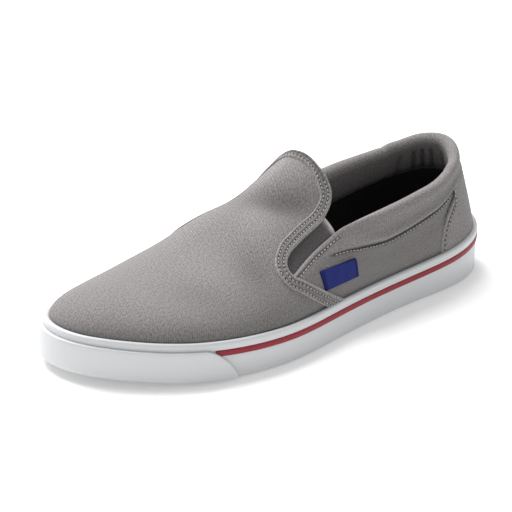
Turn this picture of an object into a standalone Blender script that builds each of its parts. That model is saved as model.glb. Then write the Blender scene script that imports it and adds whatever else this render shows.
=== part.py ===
"""Canvas slip-on sneaker, left shoe, vulcanised build.

Every curved piece is laid on one surface, the shoe's last. A place on it has a station that runs
round the outline (0 to 1 along the outer side from heel to toe, 1 to 2 round the toe, 2 to 3 back
along the inner side, 3 to 4 round the heel), a girth from 1 at the sidewall to 0 on the crest, and
a depth under the canvas, which is negative outside it. +X is the toe, +Y the outer side, +Z up.
"""
import bmesh
import bpy
import numpy as np

# Sizes in metres
LAST_LENGTH = 0.290          # upper from heel to toe, at the sidewall
BALL_WIDTH = 0.1015          # width that the outline table is a share of
INSTEP_HEIGHT = 0.086        # height that the crest of the vamp is a share of
HEEL_HEIGHT = 0.0860         # height that the crest over the heel is a share of
SIDEWALL_HEIGHT = 0.020      # sidewall at the ball
SIDEWALL_WALL = 0.0028
TOE_SPRING = 0.005
LIP_COVER = 0.002            # the sidewall's lip laps this far over the upper
FIT = 0.0003                 # clearance between pieces that touch
LIP_GAP = 2 * FIT            # what is sewn on the upper ends this far over the sidewall

CANVAS_WALL = 0.0018         # canvas and lining
VAMP_STEP = 0.0008           # the vamp laps over the quarters
COLLAR_PAD = 0.0055          # foam inside the collar roll
COLLAR_BULGE = 0.0020        # foam swelling outwards
COLLAR_PINCH = 0.0006        # the roll's seam draws the canvas in
BAND_WIDTH = 0.0062
BAND_WALL = 0.0008
GORE_WALL = 0.0012
GORE_GAP = 0.0004
COUNTER_WALL = 0.0009
TAG_LENGTH = 0.0295
TAG_HEIGHT = 0.0098
TAG_WALL = 0.0007

SOLE_THICKNESS = 0.0085
INSOLE_THICKNESS = 0.0035
SIDEWALL_LIFT = 0.0004       # the sidewall ends this far over the ground
ARCH_RISE = 0.0012
GROOVE_DEPTH = 0.0012
GROOVE_WIDTH = 0.0022
GROOVE_PITCH = 0.0105
GROOVE_RIM = 0.007           # plain rubber round the treads
BUMPER_WALL = 0.0017
BUMPER_DROP = 0.0040         # from the sidewall's top edge down to the bumper
STRIPE_DROP = 0.0058         # from the sidewall's top edge down to the middle of the stripe
STRIPE_WIDTH = 0.0031
STRIPE_WALL = 0.0006
STRIPE_PROUD = 0.0003

# Shares of a rubber strip's wall
EDGE_ROUND = 0.35            # rounding of its edges
LIP_ROUND = ((0.00, 0.56), (0.21, 0.175), (0.525, 0.0))   # rolled lip: inward, down
LIP_FALL = 0.105             # fall of the lip towards the upper

# Outline at the sidewall: share of length, share of width (outer side positive)
OUTLINE = (
    (0.000, 0.000),
    (0.035, 0.215),
    (0.125, 0.355),
    (0.250, 0.385),
    (0.400, 0.415),
    (0.540, 0.470),
    (0.655, 0.510),
    (0.760, 0.490),
    (0.870, 0.385),
    (0.955, 0.185),
    (1.000, -0.065),
    (0.975, -0.275),
    (0.895, -0.385),
    (0.800, -0.450),
    (0.700, -0.472),
    (0.550, -0.415),
    (0.400, -0.345),
    (0.250, -0.335),
    (0.125, -0.335),
    (0.035, -0.210),
)

# Sections of the last: share of length, crest as shares of the instep and heel heights,
# crest's place across as a share of the width, roundness of the wall and of the crown
SECTIONS = (
    (0.130, 0.00, 1.52, 0.005, 1.1, 1.10),
    (0.250, 0.20, 1.26, 0.008, 1.5, 1.45),
    (0.360, 0.70, 0.52, 0.000, 1.7, 1.60),
    (0.455, 0.95, 0.00, -0.030, 1.8, 1.70),
    (0.500, 0.84, 0.00, -0.050, 1.8, 1.70),
    (0.550, 0.76, 0.00, -0.070, 1.8, 1.70),
    (0.600, 0.69, 0.00, -0.085, 1.8, 1.80),
    (0.700, 0.535, 0.00, -0.100, 2.0, 2.00),
    (0.800, 0.460, 0.00, -0.100, 2.0, 2.00),
    (0.860, 0.440, 0.00, -0.100, 2.1, 1.95),
)
HEEL_CENTRE = 0.130          # share of length, middle of the heel's fan of ribs
TOE_CENTRE = 0.860           # and of the toe's

# Top of the sidewall: share of length, share of the sidewall's height
SIDEWALL_TOP = ((0.0, 1.31), (0.25, 1.05), (0.50, 1.02), (0.75, 1.005), (1.0, 0.99))
SPRING_START = 0.62          # share of length where the sole begins to rise

# Rear edge of the vamp from the crest to the foot of the notch: share of length, girth
VAMP_EDGE = (
    (0.455, 0.000),
    (0.453, 0.120),
    (0.4535, 0.236),
    (0.454, 0.322),
    (0.459, 0.397),
    (0.468, 0.433),
    (0.488, 0.462),
    (0.530, 0.474),
    (0.568, 0.481),
    (0.598, 0.493),
    (0.616, 0.529),
    (0.622, 0.571),
    (0.620, 0.633),
)

# Seam of the vamp over the quarter, from the notch to the sole: girth, share of length
VAMP_SEAM = ((0.633, 0.620), (0.700, 0.602), (0.800, 0.573), (0.900, 0.538), (1.000, 0.495))

# Top line of the quarters: share of length, girth, and the share of the wall under the roll's seam
TOP_LINE = (
    (0.000, 0.552, 0.81),
    (0.030, 0.562, 0.82),
    (0.070, 0.580, 0.84),
    (0.130, 0.598, 0.84),
    (0.166, 0.630, 0.81),
    (0.207, 0.661, 0.73),
    (0.270, 0.683, 0.63),
    (0.345, 0.670, 0.59),
    (0.430, 0.618, 0.62),
    (0.480, 0.588, 0.64),
    (0.524, 0.587, 0.64),
    (0.570, 0.603, 0.64),
    (0.620, 0.633, 0.64),
)
ROLL_FULL = 0.34             # share of length up to which the collar is fully padded
ROLL_END = 0.47              # share of length where the padding has run out
ROLL_TURN = 0.8              # share of a half turn that the swelling makes above the seam
ROLL_FULLNESS = 0.6          # lower is fuller
THIN_EDGE = 0.3              # rise of the unpadded edge's cap, as a share of half its wall
LIFT_RISE = 0.12             # girth over which the vamp's step rises from the sole
EVEN_FROM = 0.55             # share of the vamp's length where its rings lie at even girths
NOTCH_RING = 0.60            # girth at the toe of the ring that starts at the notch
INNER_DROP = 0.08            # girth by which the inner side's notch lies lower

# Gore: shares of length and girths of its front edge, under the vamp, and of its rear edge
GORE = (
    (0.487, 0.405, 0.474, 0.635),
    (0.530, 0.410, 0.515, 0.648),
    (0.575, 0.418, 0.550, 0.660),
    (0.612, 0.435, 0.580, 0.672),
    (0.637, 0.490, 0.603, 0.690),
    (0.645, 0.570, 0.620, 0.705),
)

COUNTER_TOP = 0.150          # share of length of the counter's seam at the collar
COUNTER_FOOT = 0.197         # and at the sole
COUNTER_DROP = 0.012         # girth from the roll's seam down to the counter
TAG_CENTRE = 0.502           # share of length of the tag's middle
TAG_GIRTH = 0.805
BUMPER_END = 0.788           # share of length where the bumper's slanted end meets the ground
BUMPER_SLANT = 0.060         # share of length that the end slants over
BUMPER_TIP = 0.10            # height of the very end, as a share of the bumper's
BUMPER_CURVE = 0.8           # lower is squarer
ARCH_START = 0.34
ARCH_END = 0.47
ARCH_BLEND = 0.04            # share of length that each end of the arch rises over
TREAD_START = 0.50           # grooves of the forefoot, shares of length
TREAD_END = 0.84
HEEL_TREAD_START = 0.07
HEEL_TREAD_END = 0.30

# Numbers of facets
QUARTER_COLUMNS = (0.0, 0.07, 0.14, 0.22, 0.31, 0.40, 0.50, 0.60, 0.70, 0.80, 0.90, 1.0)
TOE_FACETS = 16
HEEL_FACETS = 14
EDGE_FACETS = 11
VAMP_COLUMNS = (0.0, 0.045, 0.10, 0.165, 0.24, 0.325, 0.42, 0.52, 0.63, 0.75, 0.875, 1.0)
WALL_LEVELS = (0.0, 0.28, 0.55, 0.80, 1.0)       # from the sole to the roll's seam
ROLL_LEVELS = (0.20, 0.45, 0.72, 1.0)            # from the roll's seam to its top
CAP_ANGLES = (45, 90, 135)
PAD_LEVEL = 2                # level of the wall from which the lining swells in
BUMPER_FACETS = (6, 4)       # along the slant, and on to the toe
STRIPE_FACETS = 15
GORE_FACETS = (10, 6)        # down, across
BAND_FACETS = (14, 24, 3)    # along the seam, along the free edge, across
COUNTER_FACETS = (6, 3)      # down, across
TAG_FACETS = (6, 3)          # along, up

HEEL_X = HEEL_CENTRE * LAST_LENGTH
TOE_X = TOE_CENTRE * LAST_LENGTH


def closed_spline(points, count):
    """A closed natural cubic curve through the points, at even steps of chord length."""
    points = np.asarray(points, float)
    size = len(points)
    chord = np.linalg.norm(np.roll(points, -1, 0) - points, axis=1)
    knots = np.concatenate([[0], np.cumsum(chord)])
    matrix = np.zeros((size, size))
    right = np.zeros((size, 2))
    for i in range(size):
        before, after = chord[i - 1], chord[i]
        matrix[i, (i - 1) % size] += before
        matrix[i, i] += 2 * (before + after)
        matrix[i, (i + 1) % size] += after
        rise = (points[(i + 1) % size] - points[i]) / after
        right[i] = 6 * (rise - (points[i] - points[i - 1]) / before)
    bend = np.linalg.solve(matrix, right)
    steps = np.linspace(0, knots[-1], count, endpoint=False)
    k = np.clip(np.searchsorted(knots, steps, side="right") - 1, 0, size - 1)
    after = (k + 1) % size
    width = chord[k][:, None]
    a = (knots[k + 1] - steps)[:, None] / width
    b = 1 - a
    swell = ((a**3 - a) * bend[k] + (b**3 - b) * bend[after]) * width**2 / 6
    return a * points[k] + b * points[after] + swell


def from_rows(x, rows, column):
    """A smooth value between the rows of a table, whose first column is x."""
    table = np.asarray(rows, float)
    xs, ys = table[:, 0], table[:, column]
    x = np.clip(x, xs[0], xs[-1])
    slope = np.gradient(ys, xs)
    k = np.clip(np.searchsorted(xs, x, side="right") - 1, 0, len(xs) - 2)
    width = xs[k + 1] - xs[k]
    t = (x - xs[k]) / width
    return ((2 * t**3 - 3 * t**2 + 1) * ys[k] + (t**3 - 2 * t**2 + t) * width * slope[k]
            + (3 * t**2 - 2 * t**3) * ys[k + 1] + (t**3 - t**2) * width * slope[k + 1])


def ease(value):
    """0 below 0, 1 above 1, smooth between."""
    t = np.clip(value, 0, 1)
    return t * t * (3 - 2 * t)


RIM = closed_spline(np.array(OUTLINE) * (LAST_LENGTH, BALL_WIDTH), 2000)
TIP = int(RIM[:, 0].argmax())


def span(points, share):
    """Points at the shares of an open line's length."""
    run = np.concatenate([[0], np.cumsum(np.linalg.norm(np.diff(points, axis=0), axis=1))])
    place = np.asarray(share) * run[-1]
    return np.stack([np.interp(place, run, points[:, i]) for i in range(points.shape[1])], -1)


def side_line(outer):
    """The outline of one side, from heel to toe, where x only grows."""
    line = RIM[:TIP + 1] if outer else np.vstack([RIM[TIP:], RIM[:1]])[::-1]
    return line[int(line[:, 0].argmin()):]


OUTER, INNER = side_line(True), side_line(False)
TOE_ARC = RIM[RIM[:, 0] >= TOE_X]
ORDER = np.arange(len(RIM))
HEEL_ARC = np.vstack([RIM[(RIM[:, 0] <= HEEL_X) & (ORDER > TIP)],
                      RIM[(RIM[:, 0] <= HEEL_X) & (ORDER <= TIP)]])


def station(x, outer=True):
    """Station of a place along one side."""
    along = (np.asarray(x) - HEEL_X) / (TOE_X - HEEL_X)
    return along if outer else 3 - along


def foot(stations):
    """Points of the outline at the stations."""
    g = np.asarray(stations, float) % 4
    x = HEEL_X + (TOE_X - HEEL_X) * np.where(g <= 1, g, np.clip(3 - g, 0, 1))
    points = np.stack([x, np.interp(x, OUTER[:, 0], OUTER[:, 1])], -1)
    inner = np.stack([x, np.interp(x, INNER[:, 0], INNER[:, 1])], -1)
    points = np.where((g >= 2)[..., None], inner, points)
    toe = ((g > 1) & (g < 2))[..., None]
    points = np.where(toe, span(TOE_ARC, np.clip(g - 1, 0, 1)), points)
    heel = (g > 3)[..., None]
    return np.where(heel, span(HEEL_ARC, np.clip(g - 3, 0, 1)), points)


def outward(stations):
    """Unit vectors out of the outline, level with the ground."""
    step = 0.004
    along = foot(np.asarray(stations) + step) - foot(np.asarray(stations) - step)
    along /= np.linalg.norm(along, axis=-1, keepdims=True)
    return np.stack([-along[..., 1], along[..., 0]], -1)


def spring(x):
    """Height of the sole's underside over the ground."""
    rise = np.clip((x / LAST_LENGTH - SPRING_START) / (1 - SPRING_START), 0, None)
    return TOE_SPRING * rise**2


def sidewall_top(x):
    """Height of the sidewall's upper edge over the ground."""
    return spring(x) + SIDEWALL_HEIGHT * from_rows(x / LAST_LENGTH, SIDEWALL_TOP, 1)


def crest_height(x):
    """Height of the last's crest over the ground."""
    share = x / LAST_LENGTH
    return INSTEP_HEIGHT * from_rows(share, SECTIONS, 1) + HEEL_HEIGHT * from_rows(share, SECTIONS, 2)


def on_last(stations, girth, depth=0.0):
    """Points of the last: each section is a quarter of a rounded arch from sidewall to crest."""
    stations, girth, depth = np.broadcast_arrays(np.asarray(stations, float), girth, depth)
    base = foot(stations)
    spine_x = np.clip(base[..., 0], HEEL_X, TOE_X)
    share = spine_x / LAST_LENGTH
    spine = np.stack([spine_x, BALL_WIDTH * from_rows(share, SECTIONS, 3)], -1)
    wall = from_rows(share, SECTIONS, 4)
    crown = from_rows(share, SECTIONS, 5)
    step = 0.002
    slope = (crest_height(spine_x + step) - crest_height(spine_x - step)) / (2 * step)
    low = sidewall_top(base[..., 0]) - LIP_COVER
    high = crest_height(spine_x) - depth * np.sqrt(1 + slope**2)
    angle = (1 - girth) * np.pi / 2
    reach = np.cos(angle) ** (2 / crown)
    rise = np.clip(np.sin(angle), 0, 1) ** (2 / wall)
    edge = base - outward(stations) * depth[..., None]
    plan = spine + (edge - spine) * reach[..., None]
    return np.concatenate([plan, (low + (high - low) * rise)[..., None]], -1)


def skirt(stations, depth, height):
    """Points straight under the sidewall's lip, this high over the sole's underside."""
    base = foot(stations)
    plan = base - outward(stations) * np.asarray(depth)[..., None]
    return np.concatenate([plan, (spring(base[..., 0]) + height)[..., None]], -1)


def girth_at(x, height):
    """Girth on the sides where the last has this height over the ground."""
    low = sidewall_top(x) - LIP_COVER
    rise = (height - low) / (crest_height(x) - low)
    wall = from_rows(x / LAST_LENGTH, SECTIONS, 4)
    return 1 - np.arcsin(np.clip(rise, 0, 1) ** (wall / 2)) * 2 / np.pi


def ring_stations():
    """Stations of the pieces that run all the way round: both sides, toe and heel."""
    foot_x = LAST_LENGTH * VAMP_SEAM[-1][1]
    rear = foot_x + (HEEL_X - foot_x) * np.array(QUARTER_COLUMNS)[::-1]
    front = foot_x + (TOE_X - foot_x) * np.array(VAMP_COLUMNS)
    side = np.concatenate([rear[:-1], front])
    outer = station(side)
    inner = station(side, False)[::-1]
    toe = 1 + np.linspace(0, 1, TOE_FACETS + 1)[1:-1]
    heel = 3 + np.linspace(0, 1, HEEL_FACETS + 1)[1:-1]
    return np.concatenate([outer, toe, inner, heel])


RING = ring_stations()
SOLE_EDGE = foot(RING) + outward(RING) * (FIT + SIDEWALL_WALL)
TOE_EDGE = foot(RING) + outward(RING) * (FIT + SIDEWALL_WALL + FIT + BUMPER_WALL)
ORIGIN = np.array([
    (TOE_EDGE[:, 0].max() + SOLE_EDGE[:, 0].min()) / 2,
    (SOLE_EDGE[:, 1].max() + SOLE_EDGE[:, 1].min()) / 2,
    0.0,
])


def material(name, colour, roughness):
    """A plain finish of one colour."""
    finish = bpy.data.materials.new(name)
    finish.use_nodes = True
    shader = finish.node_tree.nodes["Principled BSDF"]
    shader.inputs["Base Color"].default_value = (*colour, 1.0)
    shader.inputs["Roughness"].default_value = roughness
    shader.inputs["Metallic"].default_value = 0.0
    return finish


class Body:
    """One closed solid, gathered from rows of points."""

    def __init__(self):
        self.points = []
        self.faces = []

    def add(self, points):
        """Adds points and returns their numbers, in the shape they came in."""
        points = np.asarray(points, float)
        first = len(self.points)
        flat = points.reshape(-1, 3)
        self.points.extend(flat.tolist())
        return (first + np.arange(len(flat))).reshape(points.shape[:-1])

    def strip(self, row, other, closed=False):
        """Faces between two rows of numbers."""
        count = len(row) if closed else len(row) - 1
        for i in range(count):
            j = (i + 1) % len(row)
            self.face([row[i], row[j], other[j], other[i]])

    def face(self, corners):
        """One face. Corners that coincide are left out."""
        kept = []
        for corner in corners:
            if corner not in kept:
                kept.append(int(corner))
        if len(kept) > 2:
            self.faces.append(kept)

    def grid(self, numbers, closed=False):
        """Faces over a grid of numbers, row by row."""
        for row, other in zip(numbers[:-1], numbers[1:]):
            self.strip(row, other, closed)

    def finish(self, name, finish, sharp=40):
        """Makes the object, with its faces turned outwards."""
        mesh = bpy.data.meshes.new(name)
        mesh.from_pydata([tuple(np.array(p) - ORIGIN) for p in self.points], [], self.faces)
        work = bmesh.new()
        work.from_mesh(mesh)
        bmesh.ops.recalc_face_normals(work, faces=work.faces)
        if work.calc_volume(signed=True) < 0:
            bmesh.ops.reverse_faces(work, faces=work.faces)
        bmesh.ops.triangulate(work, faces=work.faces)
        work.to_mesh(mesh)
        work.free()
        mesh.shade_smooth()
        mesh.set_sharp_from_angle(angle=np.radians(sharp))
        mesh.materials.append(finish)
        piece = bpy.data.objects.new(name, mesh)
        bpy.context.collection.objects.link(piece)
        return piece


def panel(name, outer, inner, finish, sharp=40):
    """A solid between two grids of points, closed along its rim."""
    body = Body()
    front, back = body.add(outer), body.add(inner)
    body.grid(front)
    body.grid(back)
    for edge in (np.s_[0], np.s_[-1], np.s_[:, 0], np.s_[:, -1]):
        body.strip(front[edge], back[edge])
    return body.finish(name, finish, sharp)


def ring(name, sections, finish, closed=True, sharp=40):
    """A solid swept through sections, each a closed row of points."""
    body = Body()
    numbers = body.add(sections)
    for i in range(len(numbers) if closed else len(numbers) - 1):
        body.strip(numbers[i], numbers[(i + 1) % len(numbers)], closed=True)
    if not closed:
        body.face(numbers[0])
        body.face(numbers[-1])
    return body.finish(name, finish, sharp)


def inner_drop(girth):
    """How much lower the notch lies on the inner side, where the crest is nearer."""
    return INNER_DROP * np.sin(np.pi * np.clip(girth / VAMP_SEAM[0][0], 0, 1))


def vamp_edge(count, outer_side):
    """The vamp's free rear edge from the notch's foot to the crest: shares of length, girths."""
    rows = np.array(VAMP_EDGE)[::-1]
    if not outer_side:
        rows[:, 1] += inner_drop(rows[:, 1])
    half_girth = np.hypot(BALL_WIDTH / 2, INSTEP_HEIGHT - SIDEWALL_HEIGHT)
    flat = rows * (LAST_LENGTH, half_girth)
    run = np.concatenate([[0], np.cumsum(np.linalg.norm(np.diff(flat, axis=0), axis=1))])
    place = np.linspace(0, run[-1], count + 1)
    table = np.column_stack([run, rows])
    return from_rows(place, table, 1), from_rows(place, table, 2)


def roll_share(x):
    """How fully the collar is padded."""
    share = x / LAST_LENGTH
    return 1 - ease((share - ROLL_FULL) / (ROLL_END - ROLL_FULL))


def vamp_lift(girth):
    """How far the vamp stands proud of the last: nothing under the sidewall's lip."""
    return VAMP_STEP * ease((1 - girth) / LIFT_RISE)


def wall_shares():
    """Levels of the quarters' wall as shares of the way from the sole to the top line."""
    seam_share = TOP_LINE[-1][2]
    low = [seam_share * level for level in WALL_LEVELS]
    high = [seam_share + (1 - seam_share) * level for level in ROLL_LEVELS]
    return np.array(low + high)


def quarter_grid(outer_side):
    """Stations and girths of one quarter, a row for each level, from the seam back to the heel."""
    shares = wall_shares()
    notch = VAMP_SEAM[0][0]
    seam_girth = 1 - shares * (1 - notch)
    seam_x = LAST_LENGTH * from_rows(seam_girth, VAMP_SEAM, 1)
    x = seam_x[:, None] + (HEEL_X - seam_x)[:, None] * np.array(QUARTER_COLUMNS)
    stations = station(x, outer_side)
    return stations, level_girths(stations[-1])


def level_girths(top_stations):
    """Girths of the levels under each place of the top line, which the roll's cap comes up to."""
    top_x = foot(top_stations)[..., 0]
    share = top_x / LAST_LENGTH
    top = from_rows(share, TOP_LINE, 1)
    seam = from_rows(share, TOP_LINE, 2)
    step = 0.02
    length = np.linalg.norm(on_last(top_stations, top + step) - on_last(top_stations, top), axis=-1)
    top = top + roll_share(top_x) * cap_radius() * step / length
    low = [1 - level * seam * (1 - top) for level in WALL_LEVELS]
    high = [1 - (seam + (1 - seam) * level) * (1 - top) for level in ROLL_LEVELS]
    return np.array(low + high)


def cap_radius():
    """Half the thickness of the padded roll."""
    return (CANVAS_WALL + COLLAR_PAD + COLLAR_BULGE) / 2


def quarter_depths(top_x, inner):
    """Depths of the levels: the roll swells out above its seam, and in above the wall's middle."""
    padding = roll_share(top_x)
    wall = len(WALL_LEVELS)
    levels = wall + len(ROLL_LEVELS)
    place = np.arange(levels)[:, None]
    if inner:
        swell = ease((place - PAD_LEVEL) / (levels - 1.5 - PAD_LEVEL))
        return CANVAS_WALL + COLLAR_PAD * padding * swell
    up = np.clip((place - wall + 1) / len(ROLL_LEVELS), 0, 1)
    pinch = COLLAR_PINCH * padding * (place == wall - 1)
    return pinch - COLLAR_BULGE * padding * np.sin(up * np.pi * ROLL_TURN) ** ROLL_FULLNESS


def build_upper():
    """One hollow shell: vamp, quarters and collar roll, open at the throat and underneath."""
    body = Body()
    shares = wall_shares()
    notch = VAMP_SEAM[0][0]
    seam_girth = 1 - shares * (1 - notch)
    seam_x = from_rows(seam_girth, VAMP_SEAM, 1)
    levels = len(shares)
    rings = levels + EDGE_FACETS
    low_girth = np.linspace(1, NOTCH_RING, levels)
    even_girth = np.concatenate([low_girth, np.linspace(NOTCH_RING, 0, EDGE_FACETS + 1)[1:]])
    columns = np.array(VAMP_COLUMNS)
    settle = ease(columns / EVEN_FROM)
    toe = 1 + np.linspace(0, 1, TOE_FACETS + 1)[1:-1]
    side_stations, side_girths = {}, {}
    for outer_side in (True, False):
        edge_x, edge_girth = vamp_edge(EDGE_FACETS, outer_side)
        rear_x = np.concatenate([seam_x, edge_x[1:]]) * LAST_LENGTH
        rear_girth = np.concatenate([seam_girth, edge_girth[1:]])
        side_girths[outer_side] = rear_girth[:, None] + (even_girth - rear_girth)[:, None] * settle
        side_x = rear_x[:, None] + (TOE_X - rear_x)[:, None] * columns
        side_stations[outer_side] = station(side_x, outer_side)
    toe_girth = np.tile(even_girth[:, None], (1, len(toe)))
    vamp_station = np.concatenate([side_stations[True], np.tile(toe, (rings, 1)),
                                   side_stations[False][:, ::-1]], 1)
    vamp_girth = np.concatenate([side_girths[True], toe_girth, side_girths[False][:, ::-1]], 1)

    def vamp(depth, lift):
        """The vamp's rings, whose last one is the crest, shared by both sides."""
        points = on_last(vamp_station[:-1], vamp_girth[:-1], depth - lift * vamp_lift(vamp_girth[:-1]))
        numbers = body.add(points)
        crest = on_last(vamp_station[-1], vamp_girth[-1], depth - lift * VAMP_STEP)
        crest = crest[:len(columns)]
        ridge = body.add(crest)
        pole = [ridge[-1]] * len(toe)
        last = np.concatenate([ridge, pole, ridge[::-1]])
        return np.vstack([numbers, last[None]])

    front_out = vamp(0.0, 1.0)
    front_in = vamp(CANVAS_WALL, 0.0)
    body.grid(front_out)
    body.grid(front_in)

    quarters = {}
    heel = 3 + np.linspace(0, 1, HEEL_FACETS + 1)[1:-1]
    outer_station, outer_girth = quarter_grid(True)
    inner_station, inner_girth = quarter_grid(False)
    stations = np.concatenate([inner_station, np.tile(heel, (levels, 1)), outer_station[:, ::-1]], 1)
    girths = np.concatenate([inner_girth, level_girths(heel), outer_girth[:, ::-1]], 1)
    top_x = foot(stations[-1])[:, 0]
    for inner in (False, True):
        points = on_last(stations, girths, quarter_depths(top_x, inner))
        quarters[inner] = points

    back_out = body.add(quarters[False])
    inside = body.add(quarters[True][:, 1:-1])
    back_in = np.concatenate([front_in[:levels, -1:], inside, front_in[:levels, :1]], 1)
    back_out[0, 0] = front_out[0, -1]
    back_out[0, -1] = front_out[0, 0]
    body.grid(back_out)
    body.grid(back_in)

    # Seam steps, from the vamp's raised edge down to the quarters
    body.strip(front_out[:levels, 0], back_out[:, -1])
    body.strip(front_out[:levels, -1], back_out[:, 0])

    # Rounded top of the roll, which thins to a plain edge at the front of the quarters
    top_out, top_in = quarters[False][-1], quarters[True][-1]
    middle = (top_out + top_in) / 2
    half = (top_out - top_in) / 2
    below = (quarters[False][-2] + quarters[True][-2]) / 2
    rise = middle - below
    rise /= np.linalg.norm(rise, axis=1, keepdims=True)
    reach = np.linalg.norm(half, axis=1) * (THIN_EDGE + (1 - THIN_EDGE) * roll_share(top_x))
    caps = []
    for angle in np.radians(CAP_ANGLES):
        arch = middle + half * np.cos(angle) + rise * (reach * np.sin(angle))[:, None]
        caps.append(body.add(arch))
    top_rows = [back_out[-1]] + caps + [back_in[-1]]
    for row, other in zip(top_rows[:-1], top_rows[1:]):
        body.strip(row, other)

    # Free rear edge of the vamp, round the notches and over the crest
    for column, end in ((0, -1), (-1, 0)):
        rim_out, rim_in = front_out[levels - 1:, column], front_in[levels - 1:, column]
        notch_corners = [row[end] for row in top_rows]
        body.face([rim_out[1], rim_out[0]] + notch_corners + [rim_in[1]])
        body.strip(rim_out[1:], rim_in[1:])

    # Foot of the shell, straight down inside the sidewall
    vamp_foot = vamp_station[0]
    back_foot = stations[0]
    low = SOLE_THICKNESS + FIT
    for depth, front, back in ((0.0, front_out, back_out), (CANVAS_WALL, front_in, back_in)):
        front_low = body.add(skirt(vamp_foot, np.full(len(vamp_foot), depth), low))
        back_low = body.add(skirt(back_foot[1:-1], np.full(len(back_foot) - 2, depth), low))
        back_low = np.concatenate([front_low[-1:], back_low, front_low[:1]])
        body.strip(front[0], front_low)
        body.strip(back[0], back_low)
        if depth == 0.0:
            outer_low = (front_low, back_low)
        else:
            body.strip(outer_low[0], front_low)
            body.strip(outer_low[1], back_low)
    return body


def sidewall_profile(stations, groove):
    """Sections of the sidewall: a tape with a rolled top lip and a shallow groove for the stripe."""
    base = foot(stations)
    top = sidewall_top(base[:, 0])
    low = spring(base[:, 0]) + SIDEWALL_LIFT
    face = FIT + SIDEWALL_WALL
    edge = EDGE_ROUND * SIDEWALL_WALL
    half = STRIPE_WIDTH / 2 + FIT
    sink = (FIT + STRIPE_WALL - STRIPE_PROUD) * groove
    middle = top - STRIPE_DROP
    rows = (
        (FIT, low),
        (face - edge, low),
        (face, low + edge),
        (face, middle - half),
        (face - sink, middle - half),
        (face - sink, middle + half),
        (face, middle + half),
        *((face - SIDEWALL_WALL * inward, top - SIDEWALL_WALL * down) for inward, down in LIP_ROUND),
        (FIT, top - SIDEWALL_WALL * LIP_FALL),
    )
    return swept(stations, rows)


def swept(stations, rows):
    """Points for each station and each row of distance from the outline and height."""
    base, out = foot(stations), outward(stations)
    sections = []
    for distance, height in rows:
        plan = base + out * np.broadcast_to(distance, len(stations))[:, None]
        sections.append(np.column_stack([plan, np.broadcast_to(height, len(stations))]))
    return np.stack(sections, 1)


def bumper_stations():
    """Stations of the bumper from its outer end round the toe to its inner end."""
    start = LAST_LENGTH * BUMPER_END
    corner = start + LAST_LENGTH * BUMPER_SLANT
    slant, side = BUMPER_FACETS
    side = np.concatenate([np.linspace(start, corner, slant + 1),
                           np.linspace(corner, TOE_X, side + 1)[1:]])
    toe = 1 + np.linspace(0, 1, TOE_FACETS + 1)[1:-1]
    return np.concatenate([station(side), toe, station(side, False)[::-1]])


def bumper_top(x):
    """Height of the bumper's upper edge over the ground, which falls to its slanted ends."""
    low = spring(x) + SIDEWALL_LIFT
    full = sidewall_top(x) - BUMPER_DROP - low
    slant = np.clip((x / LAST_LENGTH - BUMPER_END) / BUMPER_SLANT, 0, 1)
    return low + full * (BUMPER_TIP + (1 - BUMPER_TIP) * np.sin(slant * np.pi / 2) ** BUMPER_CURVE)


def build_foxing(finish):
    """The sidewall, whose groove runs on under the bumper's corners."""
    end = LAST_LENGTH * (BUMPER_END + BUMPER_SLANT)
    stations = np.sort(np.append(RING, [station(end), station(end, False)]))
    groove = np.where(foot(stations)[:, 0] < end + FIT, 1.0, 0.0)
    ring("foxing", sidewall_profile(stations, groove), finish)


def build_bumper(finish):
    """The second strip of rubber round the toe, whose ends slant down to the ground."""
    stations = bumper_stations()
    x = foot(stations)[:, 0]
    low = spring(x) + SIDEWALL_LIFT
    top = bumper_top(x)
    near = FIT + SIDEWALL_WALL + FIT
    far = near + BUMPER_WALL
    edge = EDGE_ROUND * BUMPER_WALL
    rows = (
        (near, low),
        (far - edge, low),
        (far, low + edge),
        (far, top - edge),
        (far - edge, top),
        (near, top),
    )
    ring("toe_bumper", swept(stations, rows), finish, closed=False)


def stripe_end():
    """Where the bumper's upper edge has risen almost to the stripe's, and the place where it
    first reaches the stripe's lower edge."""
    x = np.linspace(BUMPER_END, BUMPER_END + BUMPER_SLANT, 400) * LAST_LENGTH
    under = bumper_top(x) + FIT - (sidewall_top(x) - STRIPE_DROP)
    half = STRIPE_WIDTH / 2
    return np.interp(half - 2 * STRIPE_WALL, under, x), np.interp(-half, under, x)


def build_pinstripe(finish):
    """The red line, laid in the sidewall's groove, whose ends are cut along the bumper's."""
    end, start = stripe_end()
    side = np.concatenate([np.linspace(HEEL_X, start, STRIPE_FACETS), np.linspace(start, end, 5)[1:]])
    heel = 3 + np.linspace(0, 1, HEEL_FACETS + 1)[1:-1]
    stations = np.concatenate([station(side, False)[::-1], heel, station(side)])
    x = foot(stations)[:, 0]
    middle = sidewall_top(x) - STRIPE_DROP
    low = np.where(x < start, middle - STRIPE_WIDTH / 2, bumper_top(x) + FIT)
    low = np.maximum(low, middle - STRIPE_WIDTH / 2)
    near = FIT + SIDEWALL_WALL - STRIPE_WALL + STRIPE_PROUD
    far = near + STRIPE_WALL
    rows = (
        (near, low),
        (far, low),
        (far, middle + STRIPE_WIDTH / 2),
        (near, middle + STRIPE_WIDTH / 2),
    )
    ring("pinstripe", swept(stations, rows), finish, closed=False)


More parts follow.
